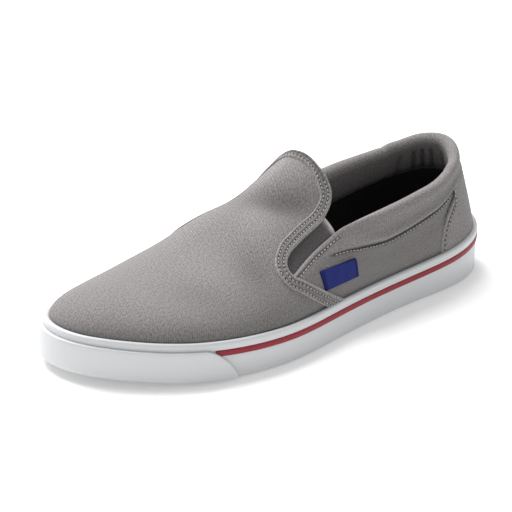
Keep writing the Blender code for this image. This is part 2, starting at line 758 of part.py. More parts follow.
def slab(name, depth, low, high, finish):
    """A flat-edged slab inside the outline, with its surfaces laid in strips across the foot."""
    body = Body()
    count = len(RING)
    base = foot(RING) - outward(RING) * depth
    x = base[:, 0]
    under = body.add(np.column_stack([base, low(x)]))
    over = body.add(np.column_stack([base, high(x)]))
    body.strip(under, over, closed=True)
    side = len(QUARTER_COLUMNS) + len(VAMP_COLUMNS) - 1
    toe_half = TOE_FACETS // 2
    order = [(side - 1 + k) for k in range(toe_half)]
    outer = np.array([*range(side), *order[1:]])
    inner = np.array([(2 * side + TOE_FACETS - 2 - i) % count for i in outer])
    nose = side - 1 + toe_half
    heel_count = HEEL_FACETS // 2
    outer = np.concatenate([[count - k for k in range(heel_count - 1, 0, -1)], outer])
    inner = np.concatenate([[2 * side + TOE_FACETS - 2 + k for k in range(heel_count - 1, 0, -1)], inner])
    back = 2 * side + TOE_FACETS - 2 + heel_count
    for level in (under, over):
        body.strip(level[outer], level[inner])
        body.face([level[back], level[outer[0]], level[inner[0]]])
        body.face([level[nose], level[outer[-1]], level[inner[-1]]])
    return body.finish(name, finish)


def underside(x):
    """Sole's underside: flat under heel and forefoot, raised at the arch, rising to the toe."""
    share = x / LAST_LENGTH
    arch = ease((share - ARCH_START) / ARCH_BLEND) * ease((ARCH_END - share) / ARCH_BLEND)
    return spring(x) + ARCH_RISE * arch


def tread_cutters():
    """Transverse grooves under the heel and the forefoot, as bars that cut the sole."""
    work = bmesh.new()
    for start, end in ((HEEL_TREAD_START, HEEL_TREAD_END), (TREAD_START, TREAD_END)):
        first, last = start * LAST_LENGTH, end * LAST_LENGTH
        for x in np.arange(first, last, GROOVE_PITCH):
            outer = np.interp(x, OUTER[:, 0], OUTER[:, 1]) - GROOVE_RIM
            inner = np.interp(x, INNER[:, 0], INNER[:, 1]) + GROOVE_RIM
            bar = bmesh.ops.create_cube(work, size=1)["verts"]
            floor = underside(x)
            size = (GROOVE_WIDTH, outer - inner, 2 * GROOVE_DEPTH)
            centre = np.array([x, (outer + inner) / 2, floor]) - ORIGIN
            bmesh.ops.scale(work, vec=size, verts=bar)
            bmesh.ops.translate(work, vec=centre, verts=bar)
    mesh = bpy.data.meshes.new("tread_grooves")
    work.to_mesh(mesh)
    work.free()
    cutter = bpy.data.objects.new("tread_grooves", mesh)
    cutter.hide_render = True
    cutter.display_type = "WIRE"
    bpy.context.collection.objects.link(cutter)
    return cutter


def build_outsole(finish):
    """The rubber sole, with its treads cut in."""
    sole = slab("outsole", 0.0, underside, lambda x: spring(x) + SOLE_THICKNESS, finish)
    cut = sole.modifiers.new("Treads", "BOOLEAN")
    cut.operation = "DIFFERENCE"
    cut.solver = "EXACT"
    cut.object = tread_cutters()


def build_insole(finish):
    """The sock on the sole, between the walls of the upper."""
    floor = SOLE_THICKNESS + FIT
    slab("insole", CANVAS_WALL + FIT, lambda x: spring(x) + floor,
         lambda x: spring(x) + floor + INSOLE_THICKNESS, finish)


def build_gore(name, outer_side, finish):
    """Elastic gusset behind the notch, tucked under the vamp in front and the quarter behind."""
    table = np.array(GORE)
    if not outer_side:
        table[:, 1] += inner_drop(table[:, 1])
    rows = np.linspace(0, 1, GORE_FACETS[0] + 1)
    marks = np.linspace(0, 1, len(table))
    ends = [from_rows(rows, np.column_stack([marks, table[:, i]]), 1) for i in range(4)]
    across = np.linspace(0, 1, GORE_FACETS[1] + 1)
    share = ends[0][:, None] + (ends[2] - ends[0])[:, None] * across
    girth = ends[1][:, None] + (ends[3] - ends[1])[:, None] * across
    stations = station(share * LAST_LENGTH, outer_side)
    depth = CANVAS_WALL + GORE_GAP
    panel(name, on_last(stations, girth, depth), on_last(stations, girth, depth + GORE_WALL), finish)


def band_line(outer_side):
    """The vamp's whole rear edge on one side, from the sole to the crest: x and girth."""
    seam_facets, edge_facets, _ = BAND_FACETS
    edge_x, edge_girth = vamp_edge(edge_facets, outer_side)
    clear = sidewall_top(LAST_LENGTH * VAMP_SEAM[-1][1]) + LIP_GAP
    foot_girth = float(girth_at(LAST_LENGTH * VAMP_SEAM[-1][1], clear))
    seam_girth = np.linspace(foot_girth, VAMP_SEAM[0][0], seam_facets)
    seam_x = from_rows(seam_girth, VAMP_SEAM, 1)
    x = np.concatenate([seam_x[:-1], edge_x]) * LAST_LENGTH
    girth = np.concatenate([seam_girth[:-1], edge_girth])
    return x, girth


def band_side(outer_side):
    """Stations and girths of the band on one side, a row for each step across its width."""
    x, girth = band_line(outer_side)
    on_rim = on_last(station(x, outer_side), girth)
    step = 0.01
    ahead = on_last(station(x + step * LAST_LENGTH, outer_side), girth)
    below = on_last(station(x, outer_side), girth + step)
    per_x = np.linalg.norm(ahead - on_rim, axis=1) / (step * LAST_LENGTH)
    per_girth = np.linalg.norm(below - on_rim, axis=1) / step
    way = np.stack([np.gradient(x) * per_x, np.gradient(girth) * per_girth], 1)
    way /= np.linalg.norm(way, axis=1, keepdims=True)
    way[-1] = (0, -1)
    widths = np.linspace(0, BAND_WIDTH, BAND_FACETS[2] + 1)[:, None]
    side_x = x - widths * way[:, 1] / per_x
    side_girth = girth + widths * way[:, 0] / per_girth
    lowest = girth_at(side_x, sidewall_top(side_x) + LIP_GAP)
    return station(side_x, outer_side), np.clip(side_girth, 0, lowest)


def build_band(finish):
    """Folded edge band, sewn over the rear edge of the vamp from sole to sole."""
    outer, inner = band_side(True), band_side(False)
    stations, girths = (np.concatenate([a, b[:, -2::-1]], 1) for a, b in zip(outer, inner))
    depth = -(VAMP_STEP + FIT)
    panel("vamp_band", on_last(stations, girths, depth - BAND_WALL), on_last(stations, girths, depth),
          finish)


def build_counter(finish):
    """Panel sewn over the back of the quarters, from the sidewall up to the collar roll."""
    rows = np.linspace(0, 1, COUNTER_FACETS[0] + 1)
    top_x = LAST_LENGTH * COUNTER_TOP
    foot_x = LAST_LENGTH * COUNTER_FOOT
    edge_x = foot_x + (top_x - foot_x) * rows
    side_columns = np.linspace(0, 1, COUNTER_FACETS[1] + 1)
    side_x = edge_x[:, None] + (HEEL_X - edge_x)[:, None] * side_columns
    heel = 3 + np.linspace(0, 1, HEEL_FACETS + 1)[1:-1]
    stations = np.concatenate([station(side_x, False), np.tile(heel, (len(rows), 1)),
                               station(side_x)[:, ::-1]], 1)
    x = foot(stations)[..., 0]
    spine = np.clip(x, HEEL_X, None)
    roll = level_girths(stations[0])[len(WALL_LEVELS) - 1]
    low_height = sidewall_top(x[0]) + LIP_GAP
    low = sidewall_top(x[0]) - LIP_COVER
    rise = (low_height - low) / (crest_height(spine[0]) - low)
    wall = from_rows(spine[0] / LAST_LENGTH, SECTIONS, 4)
    bottom = 1 - np.arcsin(rise ** (wall / 2)) * 2 / np.pi
    girths = bottom + (roll + COUNTER_DROP - bottom) * rows[:, None]
    panel("heel_counter", on_last(stations, girths, -(FIT + COUNTER_WALL)),
          on_last(stations, girths, -FIT), finish)


def build_tag(finish):
    """Small woven tag on the outer quarter."""
    middle = LAST_LENGTH * TAG_CENTRE
    height = on_last(station(middle), TAG_GIRTH)[2]
    x = middle + np.linspace(-TAG_LENGTH / 2, TAG_LENGTH / 2, TAG_FACETS[0] + 1)
    up = np.linspace(-TAG_HEIGHT / 2, TAG_HEIGHT / 2, TAG_FACETS[1] + 1)
    grid_x = np.tile(x, (len(up), 1))
    girths = girth_at(grid_x, height + up[:, None])
    stations = station(grid_x)
    panel("side_tag", on_last(stations, girths, -(FIT + TAG_WALL)), on_last(stations, girths, -FIT), finish)


def main():
    for thing in list(bpy.data.objects):
        bpy.data.objects.remove(thing)
    canvas = material("canvas", (0.27, 0.255, 0.235), 0.9)
    elastic = material("elastic", (0.10, 0.09, 0.085), 0.85)
    white_rubber = material("white_rubber", (0.78, 0.79, 0.80), 0.45)
    tread_rubber = material("tread_rubber", (0.72, 0.72, 0.71), 0.6)
    red_rubber = material("red_rubber", (0.36, 0.015, 0.03), 0.45)
    lining = material("lining", (0.02, 0.02, 0.022), 0.9)
    blue_weave = material("blue_weave", (0.03, 0.06, 0.33), 0.7)

    build_upper().finish("upper", canvas)
    build_gore("gore_lateral", True, elastic)
    build_gore("gore_medial", False, elastic)
    build_band(canvas)
    build_counter(canvas)
    build_tag(blue_weave)
    build_foxing(white_rubber)
    build_bumper(white_rubber)
    build_pinstripe(red_rubber)
    build_outsole(tread_rubber)
    build_insole(lining)


main()
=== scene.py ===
"""Finish of a canvas slip-on sneaker, left shoe: cloth, rubber, stitches and a plain studio.

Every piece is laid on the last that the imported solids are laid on. A place on it has a station that
runs round the outline (0 to 1 along the outer side from heel to toe, 1 to 2 round the toe, 2 to 3 back
along the inner side, 3 to 4 round the heel), a girth from 1 at the sidewall to 0 on the crest, and a
depth into the shoe, which is negative outside the canvas. +X is the toe, +Y the outer side, +Z up.
"""

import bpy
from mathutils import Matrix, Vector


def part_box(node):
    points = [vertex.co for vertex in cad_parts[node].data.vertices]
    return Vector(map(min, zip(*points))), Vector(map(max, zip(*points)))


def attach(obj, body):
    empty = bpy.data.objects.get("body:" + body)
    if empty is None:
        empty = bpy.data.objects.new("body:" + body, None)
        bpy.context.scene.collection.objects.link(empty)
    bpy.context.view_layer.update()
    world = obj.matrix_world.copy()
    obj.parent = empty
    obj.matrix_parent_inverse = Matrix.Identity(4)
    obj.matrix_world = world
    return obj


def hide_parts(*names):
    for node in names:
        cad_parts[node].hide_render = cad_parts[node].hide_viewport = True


bl_info = {
    "name": "Canvas slip-on finish",
    "version": (1, 0, 0),
    "blender": (4, 5, 0),
    "location": "View3D > Sidebar > Slip-on",
    "description": "Cloth, rubber, stitches and studio of a canvas slip-on sneaker",
    "category": "Object",
}

import bmesh
import bpy
import numpy as np
from bpy.props import FloatProperty, FloatVectorProperty, PointerProperty
from mathutils import Matrix, Vector

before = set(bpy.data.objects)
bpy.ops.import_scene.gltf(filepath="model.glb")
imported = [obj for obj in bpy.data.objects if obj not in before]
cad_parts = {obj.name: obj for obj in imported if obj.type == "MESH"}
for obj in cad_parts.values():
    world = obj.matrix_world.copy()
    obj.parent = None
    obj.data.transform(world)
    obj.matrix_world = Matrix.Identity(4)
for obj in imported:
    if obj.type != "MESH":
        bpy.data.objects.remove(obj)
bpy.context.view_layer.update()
BODY = "root"

# Sizes of the last and of the pieces on it, in metres, as in the solids
LAST_LENGTH = 0.290
BALL_WIDTH = 0.1015
INSTEP_HEIGHT = 0.086
HEEL_HEIGHT = 0.0860
SIDEWALL_HEIGHT = 0.020
SIDEWALL_WALL = 0.0028
TOE_SPRING = 0.005
LIP_COVER = 0.002
FIT = 0.0003
CANVAS_WALL = 0.0018
VAMP_STEP = 0.0008
COLLAR_PAD = 0.0055
COLLAR_BULGE = 0.0020
BAND_WIDTH = 0.0062
GORE_DEPTH = 0.0022
GORE_WALL = 0.0012
COUNTER_WALL = 0.0009
TAG_LENGTH = 0.0295
TAG_HEIGHT = 0.0098
TAG_WALL = 0.0007
SOLE_THICKNESS = 0.0085
INSOLE_THICKNESS = 0.0035
SIDEWALL_LIFT = 0.0004
BUMPER_WALL = 0.0017
BUMPER_DROP = 0.0040
STRIPE_DROP = 0.0058
STRIPE_WIDTH = 0.0031
STRIPE_WALL = 0.0006
STRIPE_PROUD = 0.0003

# How sewn-on panels lie on the canvas: depth of their edge and of their back, width of the round edge
PANEL_EDGE = 0.0001
PANEL_BACK = 0.0004
PANEL_ROUND = 0.0012

# Rows of stitches: metres from the edge or seam that each follows
COUNTER_ROW = 0.0022
EDGE_ROW = 0.0029
COLLAR_ROW = 0.0012
TAG_ROW = 0.0016

# Height of the canvas's lower edge over the sole's underside
HEM_HEIGHT = SOLE_THICKNESS + FIT

# Outline at the sidewall: share of length, share of width (outer side positive)
OUTLINE = (
    (0.000, 0.000),
    (0.035, 0.215),
    (0.125, 0.355),
    (0.250, 0.385),
    (0.400, 0.415),
    (0.540, 0.470),
    (0.655, 0.510),
    (0.760, 0.490),
    (0.870, 0.385),
    (0.955, 0.185),
    (1.000, -0.065),
    (0.975, -0.275),
    (0.895, -0.385),
    (0.800, -0.450),
    (0.700, -0.472),
    (0.550, -0.415),
    (0.400, -0.345),
    (0.250, -0.335),
    (0.125, -0.335),
    (0.035, -0.210),
)

# Sections of the last: share of length, crest as shares of the instep and heel heights,
# crest's place across as a share of the width, roundness of the wall and of the crown
SECTIONS = (
    (0.130, 0.00, 1.52, 0.005, 1.1, 1.10),
    (0.250, 0.20, 1.26, 0.008, 1.5, 1.45),
    (0.360, 0.70, 0.52, 0.000, 1.7, 1.60),
    (0.455, 0.95, 0.00, -0.030, 1.8, 1.70),
    (0.500, 0.84, 0.00, -0.050, 1.8, 1.70),
    (0.550, 0.76, 0.00, -0.070, 1.8, 1.70),
    (0.600, 0.69, 0.00, -0.085, 1.8, 1.80),
    (0.700, 0.535, 0.00, -0.100, 2.0, 2.00),
    (0.800, 0.460, 0.00, -0.100, 2.0, 2.00),
    (0.860, 0.440, 0.00, -0.100, 2.1, 1.95),
)
HEEL_CENTRE = 0.130
TOE_CENTRE = 0.860

# Top of the sidewall: share of length, share of the sidewall's height
SIDEWALL_TOP = ((0.0, 1.31), (0.25, 1.05), (0.50, 1.02), (0.75, 1.005), (1.0, 0.99))
SPRING_START = 0.62

# Rear edge of the vamp from the crest to the foot of the notch: share of length, girth
VAMP_EDGE = (
    (0.455, 0.000),
    (0.453, 0.120),
    (0.4535, 0.236),
    (0.454, 0.322),
    (0.459, 0.397),
    (0.468, 0.433),
    (0.488, 0.462),
    (0.530, 0.474),
    (0.568, 0.481),
    (0.598, 0.493),
    (0.616, 0.529),
    (0.622, 0.571),
    (0.620, 0.633),
)

# Seam of the vamp over the quarter, from the notch to the sole: girth, share of length
VAMP_SEAM = ((0.633, 0.620), (0.700, 0.602), (0.800, 0.573), (0.900, 0.538), (1.000, 0.495))

# Top line of the quarters: share of length, girth
TOP_LINE = (
    (0.000, 0.552),
    (0.030, 0.562),
    (0.070, 0.580),
    (0.130, 0.598),
    (0.166, 0.630),
    (0.207, 0.661),
    (0.270, 0.683),
    (0.345, 0.670),
    (0.430, 0.618),
    (0.480, 0.588),
    (0.524, 0.587),
    (0.570, 0.603),
    (0.620, 0.633),
)

# Seam under the collar's roll: share of length, share of the wall that lies under it
ROLL_SEAM = (
    (0.000, 0.830),
    (0.070, 0.850),
    (0.130, 0.852),
    (0.166, 0.815),
    (0.207, 0.765),
    (0.264, 0.710),
    (0.316, 0.668),
    (0.370, 0.645),
    (0.405, 0.645),
    (0.439, 0.667),
    (0.470, 0.720),
    (0.500, 0.790),
    (0.620, 0.800),
)

# Shares of length: the roll is fully padded up to the first, and flat from the second on. Its seam
# shows up to the third, and the quarter's front seam from the fourth on.
ROLL_FULL = 0.34
ROLL_END = 0.47
ROLL_SEAM_END = 0.502
EDGE_SEAM_START = 0.462

# Girth of the vamp's mesh row that runs on from the notch, and how much lower the inner notch lies
NOTCH_RING = 0.60
INNER_DROP = 0.08

# Gore: shares of length and girths of its front edge, under the vamp, and of its rear edge
GORE = (
    (0.487, 0.405, 0.474, 0.635),
    (0.530, 0.410, 0.515, 0.648),
    (0.575, 0.418, 0.550, 0.660),
    (0.612, 0.435, 0.580, 0.672),
    (0.637, 0.490, 0.603, 0.690),
    (0.645, 0.570, 0.620, 0.705),
)

# Front edge of the counter: its share of length at the sole and at the collar, the power by which it
# bends back between them, its height in metres, and its girth below the roll's seam
COUNTER_FOOT = 0.197
COUNTER_TOP = 0.105
COUNTER_BOW = 2.6
COUNTER_RISE = 0.033
COUNTER_DROP = 0.018

# Middle of the tag: share of length, girth
TAG_CENTRE = 0.502
TAG_GIRTH = 0.805

# End of the bumper: share of length where it touches the ground, how far its slant runs, its height
# there as a share, and the power of its curve
BUMPER_END = 0.788
BUMPER_SLANT = 0.060
BUMPER_TIP = 0.10
BUMPER_CURVE = 0.8

# Soft troughs of the vamp, ridges where the depth is negative: share of length, girth, side
# (1 outer, -1 inner), half length and half width in metres, turn from across the foot in degrees,
# depth in metres
VAMP_FOLDS = (
    (0.535, 0.225, 1, 0.017, 0.0095, -24, 0.0030),
    (0.500, 0.320, 1, 0.012, 0.0080, -40, 0.0012),
    (0.478, 0.110, 1, 0.018, 0.0100, -12, -0.0010),
    (0.600, 0.200, 1, 0.016, 0.0110, 0, -0.0006),
    (0.668, 0.460, 1, 0.018, 0.0110, 35, 0.0016),
    (0.620, 0.330, 1, 0.018, 0.0090, 24, -0.0009),
    (0.735, 0.330, 1, 0.018, 0.0120, 10, -0.0004),
    (0.795, 0.450, 1, 0.018, 0.0110, -20, 0.0009),
    (0.545, 0.300, -1, 0.016, 0.0095, 24, 0.0014),
    (0.690, 0.560, -1, 0.016, 0.0110, -30, 0.0003),
    (0.640, 0.500, -1, 0.014, 0.0090, -15, -0.0002),
)

# Rows of stitches along the band: shares of its width from the vamp's edge
BAND_FRONT_ROW = 0.76
BAND_REAR_ROW = 0.29

# Puckers inside the collar at the heel: station, half width in stations, depth in metres
PUCKERS = (
    (3.14, 0.022, 0.0014),
    (3.26, 0.019, 0.0022),
    (3.33, 0.018, 0.0024),
    (3.41, 0.019, 0.0020),
    (3.54, 0.022, 0.0012),
    (3.70, 0.026, 0.0016),
)

HEEL_X = HEEL_CENTRE * LAST_LENGTH
TOE_X = TOE_CENTRE * LAST_LENGTH
NOTCH_GIRTH, NOTCH_SHARE = VAMP_SEAM[0]


# Curves and the last


def closed_spline(points, count):
    """A closed natural cubic curve through the points, at even steps of chord length."""
    points = np.asarray(points, float)
    size = len(points)
    chord = np.linalg.norm(np.roll(points, -1, 0) - points, axis=1)
    knots = np.concatenate([[0], np.cumsum(chord)])
    matrix = np.zeros((size, size))
    right = np.zeros((size, 2))
    for i in range(size):
        before, after = chord[i - 1], chord[i]
        matrix[i, (i - 1) % size] += before
        matrix[i, i] += 2 * (before + after)
        matrix[i, (i + 1) % size] += after
        rise = (points[(i + 1) % size] - points[i]) / after
        right[i] = 6 * (rise - (points[i] - points[i - 1]) / before)
    bend = np.linalg.solve(matrix, right)
    steps = np.linspace(0, knots[-1], count, endpoint=False)
    k = np.clip(np.searchsorted(knots, steps, side="right") - 1, 0, size - 1)
    after = (k + 1) % size
    width = chord[k][:, None]
    a = (knots[k + 1] - steps)[:, None] / width
    b = 1 - a
    swell = ((a**3 - a) * bend[k] + (b**3 - b) * bend[after]) * width**2 / 6
    return a * points[k] + b * points[after] + swell


def from_rows(x, rows, column):
    """A smooth value between the rows of a table, whose first column is x."""
    table = np.asarray(rows, float)
    xs, ys = table[:, 0], table[:, column]
    x = np.clip(x, xs[0], xs[-1])
    slope = np.gradient(ys, xs)
    k = np.clip(np.searchsorted(xs, x, side="right") - 1, 0, len(xs) - 2)
    width = xs[k + 1] - xs[k]
    t = (x - xs[k]) / width
    return ((2 * t**3 - 3 * t**2 + 1) * ys[k] + (t**3 - 2 * t**2 + t) * width * slope[k]
            + (3 * t**2 - 2 * t**3) * ys[k + 1] + (t**3 - t**2) * width * slope[k + 1])


def ease(value):
    """0 below 0, 1 above 1, smooth between."""
    t = np.clip(value, 0, 1)
    return t * t * (3 - 2 * t)


def bell(value):
    """1 at 0, fading to both sides."""
    return np.exp(-np.square(value))


def quarter_round(value):
    """A quarter circle: 1 at 0, falling to 0 at 1."""
    return np.sqrt(1 - np.square(np.clip(value, 0, 1)))


# The outline of the last, its foremost point, and where its own origin lies in the frame
RIM = closed_spline(np.array(OUTLINE) * (LAST_LENGTH, BALL_WIDTH), 2000)
TIP = int(RIM[:, 0].argmax())
SOLE_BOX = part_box("outsole")
ORIGIN = np.array([RIM[:, 0].max() - SOLE_BOX[1].x, RIM[:, 1].max() - SOLE_BOX[1].y, 0.0])


def span(points, share):
    """Points at the shares of an open line's length."""
    run = np.concatenate([[0], np.cumsum(np.linalg.norm(np.diff(points, axis=0), axis=1))])
    place = np.asarray(share) * run[-1]
    return np.stack([np.interp(place, run, points[:, i]) for i in range(points.shape[1])], -1)


def side_line(outer):
    """The outline of one side, from heel to toe, where x only grows."""
    line = RIM[:TIP + 1] if outer else np.vstack([RIM[TIP:], RIM[:1]])[::-1]
    return line[int(line[:, 0].argmin()):]


OUTER, INNER = side_line(True), side_line(False)
TOE_ARC = RIM[RIM[:, 0] >= TOE_X]
ORDER = np.arange(len(RIM))
HEEL_ARC = np.vstack([RIM[(RIM[:, 0] <= HEEL_X) & (ORDER > TIP)],
                      RIM[(RIM[:, 0] <= HEEL_X) & (ORDER <= TIP)]])


def station(x, outer=True):
    """Station of a place along one side."""
    along = (np.asarray(x) - HEEL_X) / (TOE_X - HEEL_X)
    return along if outer else 3 - along


def foot(stations):
    """Points of the outline at the stations."""
    g = np.asarray(stations, float) % 4
    x = HEEL_X + (TOE_X - HEEL_X) * np.where(g <= 1, g, np.clip(3 - g, 0, 1))
    points = np.stack([x, np.interp(x, OUTER[:, 0], OUTER[:, 1])], -1)
    inner = np.stack([x, np.interp(x, INNER[:, 0], INNER[:, 1])], -1)
    points = np.where((g >= 2)[..., None], inner, points)
    toe = ((g > 1) & (g < 2))[..., None]
    points = np.where(toe, span(TOE_ARC, np.clip(g - 1, 0, 1)), points)
    heel = (g > 3)[..., None]
    return np.where(heel, span(HEEL_ARC, np.clip(g - 3, 0, 1)), points)


def outward(stations):
    """Unit vectors out of the outline, level with the ground."""
    step = 0.004
    along = foot(np.asarray(stations) + step) - foot(np.asarray(stations) - step)
    along /= np.linalg.norm(along, axis=-1, keepdims=True)
    return np.stack([-along[..., 1], along[..., 0]], -1)


def spring(x):
    """Height of the sole's underside over the ground."""
    rise = np.clip((x / LAST_LENGTH - SPRING_START) / (1 - SPRING_START), 0, None)
    return TOE_SPRING * rise**2


def sidewall_top(x):
    """Height of the sidewall's upper edge over the ground."""
    return spring(x) + SIDEWALL_HEIGHT * from_rows(x / LAST_LENGTH, SIDEWALL_TOP, 1)


def crest_height(x):
    """Height of the last's crest over the ground."""
    share = x / LAST_LENGTH
    return INSTEP_HEIGHT * from_rows(share, SECTIONS, 1) + HEEL_HEIGHT * from_rows(share, SECTIONS, 2)


def on_last(stations, girth, depth=0.0):
    """Points of the last: each section is a quarter of a rounded arch from sidewall to crest."""
    stations, girth, depth = np.broadcast_arrays(np.asarray(stations, float), girth, depth)
    base = foot(stations)
    spine_x = np.clip(base[..., 0], HEEL_X, TOE_X)
    share = spine_x / LAST_LENGTH
    spine = np.stack([spine_x, BALL_WIDTH * from_rows(share, SECTIONS, 3)], -1)
    wall = from_rows(share, SECTIONS, 4)
    crown = from_rows(share, SECTIONS, 5)
    step = 0.002
    slope = (crest_height(spine_x + step) - crest_height(spine_x - step)) / (2 * step)
    low = sidewall_top(base[..., 0]) - LIP_COVER
    high = crest_height(spine_x) - depth * np.sqrt(1 + slope**2)
    angle = (1 - girth) * np.pi / 2
    reach = np.cos(angle) ** (2 / crown)
    rise = np.clip(np.sin(angle), 0, 1) ** (2 / wall)
    edge = base - outward(stations) * depth[..., None]
    plan = spine + (edge - spine) * reach[..., None]
    return np.concatenate([plan, (low + (high - low) * rise)[..., None]], -1)


def skirt(stations, depth, height):
    """Points straight under the sidewall's lip, this high over the sole's underside."""
    base = foot(stations)
    plan = base - outward(stations) * np.asarray(depth)[..., None]
    return np.concatenate([plan, (spring(base[..., 0]) + height)[..., None]], -1)


def girth_at(x, height):
    """Girth on the sides where the last has this height over the ground."""
    low = sidewall_top(x) - LIP_COVER
    spine = np.clip(x, HEEL_X, TOE_X)
    rise = (height - low) / (crest_height(spine) - low)
    wall = from_rows(spine / LAST_LENGTH, SECTIONS, 4)
    return 1 - np.arcsin(np.clip(rise, 0, 1) ** (wall / 2)) * 2 / np.pi


def girth_run(stations, girths):
    """Metres over the last for each unit of girth."""
    step = 0.01
    there = on_last(stations, np.asarray(girths) + step)
    return np.linalg.norm(there - on_last(stations, girths), axis=-1) / step


def cloth_place(stations, girths):
    """Where a place of the vamp lies in the flat cloth: metres along and across the foot."""
    stations, girths = np.broadcast_arrays(np.asarray(stations, float), girths)
    base = foot(stations)
    spine_x = np.clip(base[..., 0], HEEL_X, TOE_X)
    spine_y = BALL_WIDTH * from_rows(spine_x / LAST_LENGTH, SECTIONS, 3)
    way = base - np.stack([spine_x, spine_y], -1)
    way /= np.linalg.norm(way, axis=-1, keepdims=True)
    parts = 10
    run = np.zeros(stations.shape)
    before = on_last(stations, 0.0)
    for part in range(1, parts + 1):
        here = on_last(stations, girths * part / parts)
        run = run + np.linalg.norm(here - before, axis=-1)
        before = here
    return np.stack([spine_x, np.zeros_like(spine_x)], -1) + way * run[..., None]


def vamp_drape(stations, girths):
    """Depth of the vamp's soft troughs and ridges."""
    place = cloth_place(stations, girths)
    depth = np.zeros(place.shape[:-1])
    for share, girth, side, length, width, turn, sink in VAMP_FOLDS:
        centre = cloth_place(station(share * LAST_LENGTH, side > 0), girth)
        angle = np.radians(turn)
        off = place - centre
        across = off[..., 1] * np.cos(angle) + off[..., 0] * np.sin(angle)
        along = off[..., 0] * np.cos(angle) - off[..., 1] * np.sin(angle)
        depth = depth + sink * bell(across / length) * bell(along / width)
    return depth * ease((1 - np.asarray(girths)) / 0.15)


def inner_drop(girth):
    """How much lower the notch lies on the inner side, where the crest is nearer."""
    return INNER_DROP * np.sin(np.pi * np.clip(girth / NOTCH_GIRTH, 0, 1))


def vamp_edge(count, outer_side):
    """The vamp's free rear edge from the notch's foot to the crest: shares of length, girths."""
    rows = np.array(VAMP_EDGE)[::-1]
    if not outer_side:
        rows[:, 1] += inner_drop(rows[:, 1])
    half_girth = np.hypot(BALL_WIDTH / 2, INSTEP_HEIGHT - SIDEWALL_HEIGHT)
    flat = rows * (LAST_LENGTH, half_girth)
    run = np.concatenate([[0], np.cumsum(np.linalg.norm(np.diff(flat, axis=0), axis=1))])
    place = np.linspace(0, run[-1], count + 1)
    table = np.column_stack([run, rows])
    return from_rows(place, table, 1), from_rows(place, table, 2)


def roll_share(x):
    """How fully the collar is padded."""
    return 1 - ease((x / LAST_LENGTH - ROLL_FULL) / (ROLL_END - ROLL_FULL))


def bulge_share(x):
    """How fully the outside of the collar's roll swells: less round the heel, and further to the
    front than its padding."""
    share = x / LAST_LENGTH
    return (0.5 + 0.5 * ease((share - 0.04) / 0.12)) * (1 - ease((share - 0.43) / 0.09))


def collar_lines(stations):
    """Girth of the quarters' top line, and share of the wall under the roll's seam."""
    x = foot(stations)[..., 0]
    share = x / LAST_LENGTH
    top = from_rows(share, TOP_LINE, 1)
    radius = (CANVAS_WALL + COLLAR_PAD + COLLAR_BULGE) / 2
    top = top + roll_share(x) * radius / girth_run(stations, top)
    return top, from_rows(share, ROLL_SEAM, 1)


# Meshes


